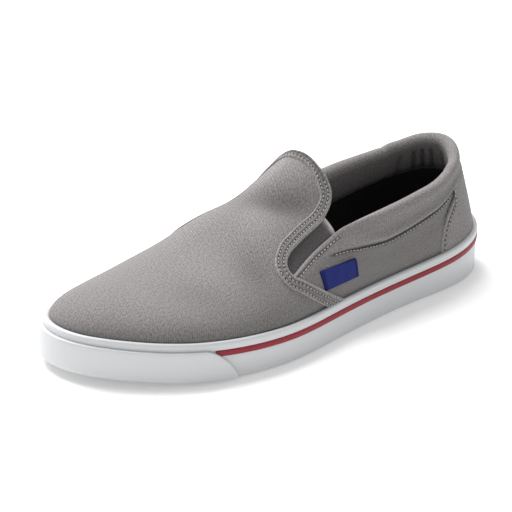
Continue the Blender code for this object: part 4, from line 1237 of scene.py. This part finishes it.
def band_frame(outer_side):
    """The vamp's whole rear edge on one side, from the sole to the crest, with the way across it."""
    edge_x, edge_girth = vamp_edge(110, outer_side)
    seam_girth = np.linspace(0.985, NOTCH_GIRTH, 46)
    seam_x = from_rows(seam_girth, VAMP_SEAM, 1)
    x = np.concatenate([seam_x[:-1], edge_x]) * LAST_LENGTH
    girth = np.concatenate([seam_girth[:-1], edge_girth])
    stations = station(x, outer_side)
    per_girth = girth_run(stations, girth)
    step = 0.01 * LAST_LENGTH
    ahead = on_last(station(x + step, outer_side), girth)
    per_x = np.linalg.norm(ahead - on_last(stations, girth), axis=1) / step
    way = np.stack([np.gradient(x) * per_x, np.gradient(girth) * per_girth], 1)
    way /= np.linalg.norm(way, axis=1, keepdims=True)
    way[-1] = (0, -1)
    return x, girth, way, per_x, per_girth


def beside_band(outer_side, away):
    """Stations and girths this far in front of the vamp's edge, for each place along it."""
    x, girth, way, per_x, per_girth = band_frame(outer_side)
    side_x = x - away * way[:, 1] / per_x
    side_girth = girth + away * way[:, 0] / per_girth
    return station(side_x, outer_side), np.clip(side_girth, 0, 1)


def band_line(away, depth):
    """Points along the whole band, from sole over the crest to sole."""
    lines = []
    for outer_side in (True, False):
        stations, girths = beside_band(outer_side, away)
        lines.append(on_last(stations, girths, depth + vamp_drape(stations, girths)))
    return np.concatenate([lines[0], lines[1][-2::-1]])


def band_width():
    """Width of the band along one side: narrow over the flap's top, full past its corner."""
    _, girth, *_ = band_frame(True)
    narrow = 0.0036
    return narrow + (BAND_WIDTH - narrow) * ease((girth - 0.20) / 0.16)


class SLIPON_OT_band(bpy.types.Operator):
    """Folded tape over the rear edge of the vamp"""

    bl_idname = "slipon.band"
    bl_label = "Vamp band"

    # Cross-section from its front edge over the outside round the vamp's edge to the inside:
    # share of the band's width, more metres across, depth in metres, painted highlight on the edge
    profile = (
        (1.00, 0.0001, -0.0006, 0.3),
        (1.00, 0.0003, -0.0012, 0.9),
        (1.00, 0.0001, -0.0017, 1.0),
        (1.00, -0.0004, -0.0019, 0.7),
        (0.84, 0.0000, -0.0017, 0.1),
        (0.76, 0.0000, -0.00155, 0.0),
        (0.66, 0.0000, -0.0018, 0.0),
        (0.50, 0.0000, -0.0019, 0.0),
        (0.38, 0.0000, -0.0018, 0.0),
        (0.29, 0.0000, -0.0016, 0.0),
        (0.20, 0.0000, -0.0019, 0.1),
        (0.08, 0.0000, -0.0021, 0.6),
        (0.00, -0.0003, -0.0019, 1.0),
        (0.00, -0.0008, -0.0013, 0.9),
        (0.00, -0.0010, -0.0004, 0.5),
        (0.00, -0.0009, 0.0008, 0.2),
        (0.00, -0.0005, 0.0018, 0.1),
        (0.08, 0.0000, 0.0024, 0.0),
        (0.50, 0.0000, 0.0024, 0.0),
        (0.60, 0.0000, 0.0018, 0.0),
    )

    def execute(self, context):
        look = context.scene.slipon_cloth
        width = band_width()
        points = np.stack([band_line(width * share + more, depth)
                           for share, more, depth, _ in self.profile], 1)
        shares, _, _, light = np.array(self.profile).T
        middle = points[:, 8]
        run = np.concatenate([[0], np.cumsum(np.linalg.norm(np.diff(middle, axis=0), axis=1))])
        run = run[:, None] * np.ones(len(shares))
        steps = np.linalg.norm(np.diff(points, axis=1, prepend=points[:, :1]), axis=-1)
        cloth = np.stack([run, np.cumsum(steps, 1)], -1)
        gap = np.minimum(abs(shares - BAND_FRONT_ROW), abs(shares - BAND_REAR_ROW)) * BAND_WIDTH
        # The trim's last value is the painted highlight on the band's folded edges
        trim = np.stack([run, np.broadcast_to(gap, run.shape), np.broadcast_to(light, run.shape)], -1)
        skin = Skin()
        numbers = skin.add(points, cloth, trim)
        skin.grid(numbers, wrap=True)
        for end in (numbers[0], numbers[-1]):
            skin.cap(end, len(end) // 2)
        tape = shared("tape", canvas_finish, "grey tape", look.band, look, 0.2, 0.7, 0.00010)
        settle(skin.build("vamp_band_tape", [tape], 70), "vamp_band")
        return {"FINISHED"}


class SLIPON_OT_gores(bpy.types.Operator):
    """Ribbed elastic gores behind the notches"""

    bl_idname = "slipon.gores"
    bl_label = "Gores"

    def execute(self, context):
        look = context.scene.slipon_cloth
        webbing = shared("elastic", elastic_finish, look)
        for name, outer_side in (("lateral", True), ("medial", False)):
            table = np.array(GORE)
            if not outer_side:
                table[:, 1] += inner_drop(table[:, 1])
            rows = np.linspace(0, 1, 60)
            marked = np.column_stack([np.linspace(0, 1, len(table)), table])
            front_share, front_girth, rear_share, rear_girth = [
                from_rows(rows, marked, column)[:, None] for column in range(1, 5)]
            across = np.linspace(0, 1, 90)
            share = front_share + (rear_share - front_share) * across
            girth = front_girth + (rear_girth - front_girth) * across
            stations = station(share * LAST_LENGTH, outer_side)
            rib_count = 16
            ribs = 0.00004 * np.sin(across * np.pi * 2 * rib_count)
            swell = 0.0005 * np.sin(across * np.pi)
            brim = bell(rows[:, None] / 0.03)
            depth = GORE_DEPTH - ribs - swell - 0.0002 * brim
            front = on_last(stations, girth, depth)
            back = on_last(stations, girth, GORE_DEPTH + GORE_WALL)
            trim = np.stack([0 * depth, 1 + 0 * depth, brim + 0 * depth], -1)
            piece = panel(f"gore_{name}_webbing", front, back, [webbing], trim)
            settle(piece, f"gore_{name}")
        return {"FINISHED"}


def counter_places(rows):
    """Stations and girths of the counter at these shares of its height, and metres from its nearer
    front edge."""
    edge_x = LAST_LENGTH * (COUNTER_FOOT + (COUNTER_TOP - COUNTER_FOOT) * rows ** COUNTER_BOW)
    ways = np.concatenate([np.linspace(0, 0.3, 14)[:-1], np.linspace(0.3, 1, 10)])
    side_x = edge_x[:, None] + (HEEL_X - edge_x)[:, None] * ways
    heel = 3 + np.linspace(0, 1, 49)[1:-1]
    stations = np.concatenate([station(side_x, False), np.tile(heel, (len(rows), 1)),
                               station(side_x)[:, ::-1]], 1)
    share = foot(stations[-1])[:, 0] / LAST_LENGTH
    top = from_rows(share, TOP_LINE, 1)
    high = 1 - from_rows(share, ROLL_SEAM, 1) * (1 - top) + COUNTER_DROP
    foot_x = foot(stations[0])[:, 0]
    low = girth_at(foot_x, sidewall_top(foot_x) - 0.0008)
    girths = low + (high - low) * rows[:, None]
    lean = np.gradient(edge_x, rows) / COUNTER_RISE
    from_front = np.abs(side_x - edge_x[:, None]) / np.hypot(1, lean)[:, None]
    far = np.ones((len(rows), len(heel)))
    return stations, girths, np.concatenate([from_front, far, from_front[:, ::-1]], 1)


class SLIPON_OT_counter(bpy.types.Operator):
    """Panel sewn over the back of the quarters"""

    bl_idname = "slipon.counter"
    bl_label = "Heel counter"

    def execute(self, context):
        look = context.scene.slipon_cloth
        stations, girths, from_edge = counter_places(np.linspace(0, 1, 44))
        round_edge = quarter_round(1 - from_edge / PANEL_ROUND)
        groove = 0.0002 * bell((from_edge - COUNTER_ROW) / 0.0007)
        front = on_last(stations, girths, PANEL_EDGE - (FIT + COUNTER_WALL) * round_edge + groove)
        back = on_last(stations, girths, PANEL_BACK)
        cloth = flat_map(front)
        along = np.broadcast_to(cloth[:, :1, 1], from_edge.shape)
        # Painted highlight along the counter's rounded front edge
        light = bell((from_edge - PANEL_ROUND / 2) / (PANEL_ROUND / 2))
        trim = np.stack([along, np.abs(from_edge - COUNTER_ROW), light], -1)
        piece = panel("counter_panel", front, back, [canvas(look)], trim, cloth)
        settle(piece, "heel_counter")
        return {"FINISHED"}


def tag_middle():
    """Middle of the tag: metres along the last, and over the ground."""
    x = LAST_LENGTH * TAG_CENTRE
    return x, on_last(station(x), TAG_GIRTH)[2]


class SLIPON_OT_tag(bpy.types.Operator):
    """Blank woven tag on the outer quarter"""

    bl_idname = "slipon.tag"
    bl_label = "Side tag"

    def execute(self, context):
        look = context.scene.slipon_cloth
        middle, height = tag_middle()
        along = np.linspace(-1, 1, 70)[None, :]
        up = np.linspace(-1, 1, 30)[:, None]
        corner = 0.0010
        into_corner = (np.abs(up) * TAG_HEIGHT / 2 - TAG_HEIGHT / 2 + corner) / corner
        x = middle + along * (TAG_LENGTH / 2 - corner * (1 - quarter_round(into_corner)))
        girths = girth_at(x, height + up * TAG_HEIGHT / 2)
        stations = station(x + 0 * up)
        from_end = (1 - np.abs(along)) * TAG_LENGTH / 2 + 0 * up
        from_edge = np.minimum(from_end, (1 - np.abs(up)) * TAG_HEIGHT / 2)
        soft = quarter_round(1 - from_edge / 0.0006)
        sewn = 0.00018 * bell((from_end - TAG_ROW) / 0.0005)
        ripples = 0.00010 * np.sin(along * 9.0 + up * 1.3)
        depth = PANEL_EDGE - (FIT + TAG_WALL) * soft + sewn - ripples * soft
        front = on_last(stations, girths, depth)
        back = on_last(stations, girths, PANEL_BACK)
        edge = np.maximum(bell((from_end - TAG_ROW) / 0.0004), bell(from_edge / 0.0005))
        trim = np.stack([0 * edge, 1 + 0 * edge, edge], -1)
        piece = panel("tag_label", front, back, [shared("tag", tag_finish, look)], trim)
        settle(piece, "side_tag")
        return {"FINISHED"}


def ring_stations():
    """Stations all the way round, close enough for smooth rubber."""
    side = np.linspace(0, 1, 150)
    ends = np.linspace(0, 1, 73)[1:-1]
    return np.concatenate([side, 1 + ends, 2 + side, 3 + ends])


def ripple(stations, size):
    """Slight unevenness of a strip laid by hand, the same each time."""
    turns = np.asarray(stations) * np.pi / 2
    swings = ((5, 0.3, 0.5), (9, 1.9, 0.3), (17, 4.0, 0.2), (29, 2.2, 0.15))
    return size * sum(share * np.sin(turns * count + phase) for count, phase, share in swings)


def bumper_top(x):
    """Height of the bumper's upper edge over the ground, which falls to its slanted ends."""
    low = spring(x) + SIDEWALL_LIFT
    full = sidewall_top(x) - BUMPER_DROP - low
    slant = np.clip((x / LAST_LENGTH - BUMPER_END) / BUMPER_SLANT, 0, 1)
    return low + full * (BUMPER_TIP + (1 - BUMPER_TIP) * np.sin(slant * np.pi / 2) ** BUMPER_CURVE)


class SLIPON_OT_sidewall(bpy.types.Operator):
    """White rubber sidewall, its toe bumper and the red line"""

    bl_idname = "slipon.sidewall"
    bl_label = "Sidewall, bumper and line"

    # Rolled lip of the sidewall: shares of its wall inward and down
    lip = ((0.00, 0.62), (0.02, 0.42), (0.09, 0.24), (0.21, 0.11), (0.36, 0.03), (0.53, 0.0), (0.70, 0.03))

    def execute(self, context):
        look = context.scene.slipon_rubber
        white = rubber_finish("white rubber", look.white, look.roughness)
        self.sidewall(white)
        self.bumper(white)
        self.line(rubber_finish("red rubber", look.red, 0.5))
        return {"FINISHED"}

    def sidewall(self, white):
        """The tape round the shoe, with a shallow groove for the line."""
        end = LAST_LENGTH * (BUMPER_END + BUMPER_SLANT)
        stations = ring_stations()
        x = foot(stations)[:, 0]
        grooved = np.where(x < end, 1.0, 0.0)
        top = sidewall_top(x) + ripple(stations, 0.00010)
        low = spring(x) + SIDEWALL_LIFT
        face = FIT + SIDEWALL_WALL + ripple(stations + 0.7, 0.00006)
        edge = 0.35 * SIDEWALL_WALL
        half = STRIPE_WIDTH / 2 + 0.0001
        sink = (FIT + STRIPE_WALL - STRIPE_PROUD) * grooved
        middle = sidewall_top(x) - STRIPE_DROP
        rows = [(FIT, low), (face - edge, low), (face - 0.3 * edge, low + 0.3 * edge), (face, low + edge)]
        under = middle - half
        for share in (0.2, 0.4, 0.6, 0.8):
            rows.append((face - 0.00012 * np.sin(np.pi * share), low + edge + (under - low - edge) * share))
        rows += [(face, under - 0.0003), (face - 0.0001, under), (face - sink, under + 0.0001),
                 (face - sink, middle + half - 0.0001), (face - 0.0001, middle + half),
                 (face, middle + half + 0.0003)]
        rows += [(face - SIDEWALL_WALL * inward, top - SIDEWALL_WALL * down) for inward, down in self.lip]
        rows.append((FIT, top - 0.0004))
        settle(hoop("sidewall_tape", swept(stations, rows), [white]), "foxing")

    def bumper(self, white):
        """The second strip round the toe, whose ends slant down to the ground."""
        start = LAST_LENGTH * BUMPER_END
        corner = start + LAST_LENGTH * BUMPER_SLANT
        side = np.concatenate([start + (corner - start) * np.linspace(0, 1, 40) ** 1.5,
                               np.linspace(corner, TOE_X, 12)[1:]])
        toe = 1 + np.linspace(0, 1, 73)[1:-1]
        stations = np.concatenate([station(side), toe, station(side, False)[::-1]])
        x = foot(stations)[:, 0]
        low = spring(x) + SIDEWALL_LIFT
        top = bumper_top(x) + ripple(stations + 0.3, 0.00008)
        near = FIT + 0.7 * SIDEWALL_WALL
        far = FIT + SIDEWALL_WALL + FIT + BUMPER_WALL + ripple(stations, 0.00005)
        edge = 0.30 * BUMPER_WALL
        rows = [(near, low), (far - edge, low), (far - 0.3 * edge, low + 0.3 * edge), (far, low + edge)]
        for share in (0.15, 0.35, 0.55, 0.75, 0.9):
            rows.append((far + 0.00015 * np.sin(np.pi * share), low + edge + (top - low - 2 * edge) * share))
        rows += [(far, top - edge), (far - 0.3 * edge, top - 0.3 * edge), (far - edge, top), (near, top)]
        piece = hoop("toe_bumper_strip", swept(stations, rows), [white], closed=False)
        settle(piece, "toe_bumper")

    def line(self, red):
        """The red line in its groove, cut off along the bumper's ends."""
        x = np.linspace(BUMPER_END, BUMPER_END + BUMPER_SLANT, 400) * LAST_LENGTH
        under = bumper_top(x) + FIT - (sidewall_top(x) - STRIPE_DROP)
        end = np.interp(STRIPE_WIDTH / 2 - 2 * STRIPE_WALL, under, x)
        start = np.interp(-STRIPE_WIDTH / 2, under, x)
        side = np.concatenate([np.linspace(HEEL_X, start, 110), np.linspace(start, end, 12)[1:]])
        heel = 3 + np.linspace(0, 1, 61)[1:-1]
        stations = np.concatenate([station(side, False)[::-1], heel, station(side)])
        x = foot(stations)[:, 0]
        middle = sidewall_top(x) - STRIPE_DROP
        low = np.where(x < start, middle - STRIPE_WIDTH / 2, bumper_top(x) + FIT)
        low = np.maximum(low, middle - STRIPE_WIDTH / 2) + ripple(stations, 0.00006)
        top = middle + STRIPE_WIDTH / 2 + ripple(stations + 1.1, 0.00006)
        near = FIT + SIDEWALL_WALL - STRIPE_WALL
        far = FIT + SIDEWALL_WALL + STRIPE_PROUD
        rows = [(near, low), (far - 0.0002, low), (far, low + 0.0003), (far + 0.00005, (low + top) / 2),
                (far, top - 0.0003), (far - 0.0002, top), (near, top)]
        piece = hoop("red_line", swept(stations, rows), [red], closed=False)
        settle(piece, "pinstripe")


class SLIPON_OT_soles(bpy.types.Operator):
    """Insole with a shallow heel cup, and the outsole's tread"""

    bl_idname = "slipon.soles"
    bl_label = "Insole and outsole"

    def execute(self, context):
        look = context.scene.slipon_cloth
        straight = HEEL_X + np.linspace(0, 1, 120) * (TOE_X - HEEL_X)
        angle = np.radians(np.linspace(-88, 88, 41))
        along = np.concatenate([HEEL_X * (1 + np.sin(angle[:20])), straight[1:-1],
                                TOE_X + (LAST_LENGTH - TOE_X) * np.sin(angle[21:])])
        along = np.clip(along, 0.0006, LAST_LENGTH - 0.0006)
        outer = np.interp(along, OUTER[:, 0], OUTER[:, 1]) - CANVAS_WALL - FIT
        inner = np.interp(along, INNER[:, 0], INNER[:, 1]) + CANVAS_WALL + FIT
        middle = (outer + inner) / 2
        outer = np.maximum(outer, middle + 0.0003)
        inner = np.minimum(inner, middle - 0.0003)
        across = np.linspace(0, 1, 31)[None, :]
        y = inner[:, None] + (outer - inner)[:, None] * across
        x = np.clip(along, 0.0024, LAST_LENGTH - 0.0024)[:, None] + 0 * across
        floor = spring(along)[:, None] + HEM_HEIGHT + 0 * across
        cup = 0.0022 * np.abs(2 * across - 1) ** 3 * (0.4 + 0.6 * (1 - ease((along - 0.05) / 0.06)))[:, None]
        front = np.stack([x, y, floor + INSOLE_THICKNESS + cup], -1)
        back = np.stack([x, y, floor], -1)
        piece = panel("insole_sock", front, back, [lining(look)])
        settle(piece, "insole")
        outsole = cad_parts["outsole"]
        outsole.data.materials.clear()
        outsole.data.materials.append(tread_finish(context.scene.slipon_rubber))
        return {"FINISHED"}


def stitch_tree():
    """Geometry Nodes that lay a stitch, with a dark ball after it as the painted shadow of its needle hole,
    at even steps along each line of the mesh."""
    tree = bpy.data.node_groups.new("Stitch rows", "GeometryNodeTree")
    sockets = (("Lines", "NodeSocketGeometry"), ("Pitch", "NodeSocketFloat"), ("Length", "NodeSocketFloat"),
               ("Thread", "NodeSocketFloat"), ("Hole", "NodeSocketFloat"),
               ("Finish", "NodeSocketMaterial"), ("Dark", "NodeSocketMaterial"))
    for label, kind in sockets:
        tree.interface.new_socket(label, in_out="INPUT", socket_type=kind)
    tree.interface.new_socket("Stitches", in_out="OUTPUT", socket_type="NodeSocketGeometry")
    add = tree.nodes.new
    entry, leave = add("NodeGroupInput"), add("NodeGroupOutput")
    curve, even = add("GeometryNodeMeshToCurve"), add("GeometryNodeResampleCurve")
    even.mode = "LENGTH"
    thread_ball, hole_ball = add("GeometryNodeMeshUVSphere"), add("GeometryNodeMeshUVSphere")
    for ball, segments, rings in ((thread_ball, 8, 6), (hole_ball, 6, 4)):
        ball.inputs["Segments"].default_value = segments
        ball.inputs["Rings"].default_value = rings
        ball.inputs["Radius"].default_value = 0.5
    thread_size, hole_size, hole_place = [add("ShaderNodeCombineXYZ") for _ in range(3)]
    thread_shape, hole_shape = add("GeometryNodeTransform"), add("GeometryNodeTransform")
    thread_finish, hole_shadow_finish = add("GeometryNodeSetMaterial"), add("GeometryNodeSetMaterial")
    both = add("GeometryNodeJoinGeometry")
    half_step = add("ShaderNodeMath")
    half_step.operation = "MULTIPLY"
    half_step.inputs[1].default_value = 0.5
    tangent, aim = add("GeometryNodeInputTangent"), add("FunctionNodeAlignRotationToVector")
    aim.axis = "X"
    tilt = add("FunctionNodeRotateRotation")
    tilt.rotation_space = "LOCAL"
    chance = add("FunctionNodeRandomValue")
    chance.data_type = "FLOAT_VECTOR"
    chance.inputs["Min"].default_value = (-0.10, -0.10, -0.10)
    chance.inputs["Max"].default_value = (0.10, 0.10, 0.10)
    chance.inputs["Seed"].default_value = 7
    laid, real = add("GeometryNodeInstanceOnPoints"), add("GeometryNodeRealizeInstances")
    smooth = add("GeometryNodeSetShadeSmooth")
    wires = (
        (entry, "Lines", curve, "Mesh"),
        (curve, "Curve", even, "Curve"),
        (entry, "Pitch", even, "Length"),
        (even, "Curve", laid, "Points"),
        (entry, "Length", thread_size, "X"),
        (entry, "Thread", thread_size, "Y"),
        (entry, "Thread", thread_size, "Z"),
        (thread_ball, "Mesh", thread_shape, "Geometry"),
        (thread_size, "Vector", thread_shape, "Scale"),
        (thread_shape, "Geometry", thread_finish, "Geometry"),
        (entry, "Finish", thread_finish, "Material"),
        (thread_finish, "Geometry", both, "Geometry"),
        (entry, "Pitch", half_step, 0),
        (half_step, "Value", hole_place, "X"),
        (entry, "Hole", hole_size, "X"),
        (entry, "Hole", hole_size, "Y"),
        (entry, "Hole", hole_size, "Z"),
        (hole_ball, "Mesh", hole_shape, "Geometry"),
        (hole_place, "Vector", hole_shape, "Translation"),
        (hole_size, "Vector", hole_shape, "Scale"),
        (hole_shape, "Geometry", hole_shadow_finish, "Geometry"),
        (entry, "Dark", hole_shadow_finish, "Material"),
        (hole_shadow_finish, "Geometry", both, "Geometry"),
        (both, "Geometry", laid, "Instance"),
        (tangent, "Tangent", aim, "Vector"),
        (aim, "Rotation", tilt, "Rotation"),
        (chance, "Value", tilt, "Rotate By"),
        (tilt, "Rotation", laid, "Rotation"),
        (laid, "Instances", real, "Geometry"),
        (real, "Geometry", smooth, "Geometry"),
        (smooth, "Geometry", leave, "Stitches"),
    )
    for source, output, target, socket in wires:
        tree.links.new(source.outputs[output], target.inputs[socket])
    return tree


def sew(name, lines, slot_name, finish, tight, look, tree):
    """Lays stitches along lines of points and leaves them as one plain mesh. Tight scales them."""
    points, edges = [], []
    for line in lines:
        first = len(points)
        points.extend((np.asarray(line) - ORIGIN).tolist())
        edges.extend((first + i, first + i + 1) for i in range(len(line) - 1))
    guide = bpy.data.meshes.new(name + "_lines")
    guide.from_pydata(points, edges, [])
    piece = bpy.data.objects.new(name, guide)
    bpy.context.scene.collection.objects.link(piece)
    modifier = piece.modifiers.new("Stitches", "NODES")
    modifier.node_group = tree
    values = {"Pitch": look.stitch_pitch * tight, "Length": look.stitch_length * tight,
              "Thread": look.thread * tight, "Hole": look.hole * tight, "Finish": finish,
              "Dark": shared("hole", hole_shadow_finish)}
    for item in tree.interface.items_tree:
        if item.in_out == "INPUT" and item.name in values:
            modifier[item.identifier] = values[item.name]
    graph = bpy.context.evaluated_depsgraph_get()
    mesh = bpy.data.meshes.new_from_object(piece.evaluated_get(graph))
    piece.modifiers.clear()
    piece.data = mesh
    bpy.data.meshes.remove(guide)
    if not mesh.polygons:
        raise RuntimeError(f"{name} came out empty")
    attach(piece, BODY)


class SLIPON_OT_stitches(bpy.types.Operator):
    """Rows of stitches on the band, the front edges, the collar, the counter and the tag"""

    bl_idname = "slipon.stitches"
    bl_label = "Stitches"

    def execute(self, context):
        look = context.scene.slipon_cloth
        tree = stitch_tree()
        thread, tag = thread_finish(look), shared("tag", tag_finish, look)
        rows = (
            ("band_stitches", self.band_rows(), "canvas", thread, 0.85),
            ("edge_stitches", self.edge_rows(), "canvas", thread, 1.0),
            ("collar_stitches", self.collar_row(), "canvas", thread, 1.0),
            ("counter_stitches", self.counter_rows(), "canvas", thread, 1.0),
            ("tag_stitches", self.tag_rows(), "blue_weave", tag, 0.55),
        )
        for row in rows:
            sew(*row, look, tree)
        return {"FINISHED"}

    def band_rows(self):
        """One row all along near the vamp's edge, and one near the front edge below the corner."""
        width = band_width()
        lines = [band_line(width * BAND_FRONT_ROW, -0.00165)]
        _, girth, *_ = band_frame(True)
        keep = girth > 0.33
        for outer_side in (True, False):
            stations, girths = beside_band(outer_side, width * BAND_REAR_ROW)
            depth = -0.0017 + vamp_drape(stations, girths)
            lines.append(on_last(stations, girths, depth)[keep])
        return lines

    def edge_rows(self):
        """Behind the front edge of each quarter."""
        x = np.linspace(0.466, 0.606, 60) * LAST_LENGTH
        lines = []
        for outer_side in (True, False):
            stations = station(x, outer_side)
            top, _ = collar_lines(stations)
            girths = top + EDGE_ROW / girth_run(stations, top)
            lines.append(on_last(stations, girths, -0.00005))
        return lines

    def collar_row(self):
        """Under the roll, from one front edge round the heel to the other."""
        side = np.linspace(0.497, HEEL_CENTRE, 130) * LAST_LENGTH
        heel = 3 + np.linspace(0, 1, 61)[1:-1]
        stations = np.concatenate([station(side, False), heel, station(side)[::-1]])
        top, seam_share = collar_lines(stations)
        seam = 1 - seam_share * (1 - top)
        girths = seam + COLLAR_ROW / girth_run(stations, seam)
        fullness = bulge_share(foot(stations)[:, 0])
        return [on_last(stations, girths, 0.0004 * fullness)]

    def counter_rows(self):
        """Behind each front edge of the counter."""
        rows = np.linspace(0.03, 0.97, 40)
        places = counter_places(rows)
        middle = places[0].shape[1] // 2
        lines = []
        for half in (np.s_[:middle], np.s_[middle:]):
            stations, girths, from_edge = [grid[:, half] for grid in places]
            picked = np.arange(len(rows)), np.abs(from_edge - COUNTER_ROW).argmin(1)
            lines.append(on_last(stations[picked], girths[picked], -(FIT + COUNTER_WALL)))
        return lines

    def tag_rows(self):
        """Across each end of the tag."""
        middle, height = tag_middle()
        up = np.linspace(-0.42, 0.42, 12) * TAG_HEIGHT
        lines = []
        for end in (-1, 1):
            x = np.full(len(up), middle + end * (TAG_LENGTH / 2 - TAG_ROW))
            lines.append(on_last(station(x), girth_at(x, height + up), -(FIT + TAG_WALL)))
        return lines


class SLIPON_OT_stage(bpy.types.Operator):
    """Pale floor, soft lights and the camera at the photo's angle"""

    bl_idname = "slipon.stage"
    bl_label = "Studio"

    def execute(self, context):
        look = context.scene.slipon_stage
        self.floor(look)
        self.lights(look)
        self.camera(look)
        context.scene.view_settings.view_transform = "Standard"
        return {"FINISHED"}

    def floor(self, look):
        """A large plain floor."""
        reach = 6.0
        mesh = bpy.data.meshes.new("floor")
        corners = [(-reach, -reach, 0), (reach, -reach, 0), (reach, reach, 0), (-reach, reach, 0)]
        mesh.from_pydata(corners, [], [(0, 1, 2, 3)])
        finish = Finish("pale floor", look.floor, 0.8)
        finish.shader.inputs["Emission Color"].default_value = (1, 1, 1, 1)
        finish.shader.inputs["Emission Strength"].default_value = look.glow
        mesh.materials.append(finish.material)
        floor = bpy.data.objects.new("floor", mesh)
        bpy.context.scene.collection.objects.link(floor)

    def lights(self, look):
        """An even room and two large soft lights."""
        world = bpy.data.worlds.new("room")
        world.use_nodes = True
        room = world.node_tree.nodes["Background"]
        room.inputs["Color"].default_value = (1, 1, 1, 1)
        room.inputs["Strength"].default_value = look.sky
        bpy.context.scene.world = world
        # Name, watts, width and place of each light
        rows = (("key", look.key, 1.7, (-0.10, -1.30, 1.9)), ("fill", look.fill, 1.2, (1.4, 0.6, 0.8)))
        for name, power, size, place in rows:
            lamp = bpy.data.lights.new(name, "AREA")
            lamp.energy = power
            lamp.size = size
            light = bpy.data.objects.new(name, lamp)
            light.location = place
            light.rotation_euler = (Vector(place) - Vector((0, 0, 0.03))).to_track_quat("Z", "Y").to_euler()
            bpy.context.scene.collection.objects.link(light)

    def camera(self, look):
        """The photo's angle to the shoe, framed on the one shoe."""
        azimuth, elevation = look.azimuth, look.elevation
        back = Vector((np.sin(azimuth) * np.cos(elevation), -np.cos(azimuth) * np.cos(elevation),
                       np.sin(elevation)))
        right = Vector((0, 0, 1)).cross(back).normalized()
        up = back.cross(right)
        right, up = (right * np.cos(look.roll) + up * np.sin(look.roll),
                     up * np.cos(look.roll) - right * np.sin(look.roll))
        place = Matrix((right, up, back)).transposed().to_4x4()
        place.translation = Vector(look.aim) + back * look.distance
        lens = bpy.data.cameras.new("camera")
        lens.sensor_width = 36
        lens.lens = look.focal
        camera = bpy.data.objects.new("camera", lens)
        camera.matrix_world = place
        bpy.context.scene.collection.objects.link(camera)
        bpy.context.scene.camera = camera


# The add-on

PIECES = (SLIPON_OT_vamp, SLIPON_OT_quarters, SLIPON_OT_band, SLIPON_OT_gores, SLIPON_OT_counter,
          SLIPON_OT_tag, SLIPON_OT_sidewall, SLIPON_OT_soles, SLIPON_OT_stitches, SLIPON_OT_stage)


class SLIPON_PT_sidebar(bpy.types.Panel):
    """Sizes, colours and pieces of the slip-on"""

    bl_label = "Slip-on"
    bl_idname = "SLIPON_PT_sidebar"
    bl_space_type = "VIEW_3D"
    bl_region_type = "UI"
    bl_category = "Slip-on"

    def draw(self, context):
        for group in (context.scene.slipon_cloth, context.scene.slipon_rubber, context.scene.slipon_stage):
            box = self.layout.box()
            for name in group.__annotations__:
                box.prop(group, name)
        for piece in PIECES:
            self.layout.operator(piece.bl_idname)


CLASSES = (ClothLook, RubberLook, StageLook, *PIECES, SLIPON_PT_sidebar)


def register():
    """Adds the classes and the scene's values."""
    for item in CLASSES:
        bpy.utils.register_class(item)
    bpy.types.Scene.slipon_cloth = PointerProperty(type=ClothLook)
    bpy.types.Scene.slipon_rubber = PointerProperty(type=RubberLook)
    bpy.types.Scene.slipon_stage = PointerProperty(type=StageLook)


def unregister():
    """Takes them out again."""
    del bpy.types.Scene.slipon_stage
    del bpy.types.Scene.slipon_rubber
    del bpy.types.Scene.slipon_cloth
    for item in reversed(CLASSES):
        bpy.utils.unregister_class(item)


def main():
    """Makes every piece and the stage."""
    register()
    bpy.ops.slipon.vamp()
    bpy.ops.slipon.quarters()
    bpy.ops.slipon.band()
    bpy.ops.slipon.gores()
    bpy.ops.slipon.counter()
    bpy.ops.slipon.tag()
    bpy.ops.slipon.sidewall()
    bpy.ops.slipon.soles()
    bpy.ops.slipon.stitches()
    bpy.ops.slipon.stage()


if __name__ == "__main__":
    main()
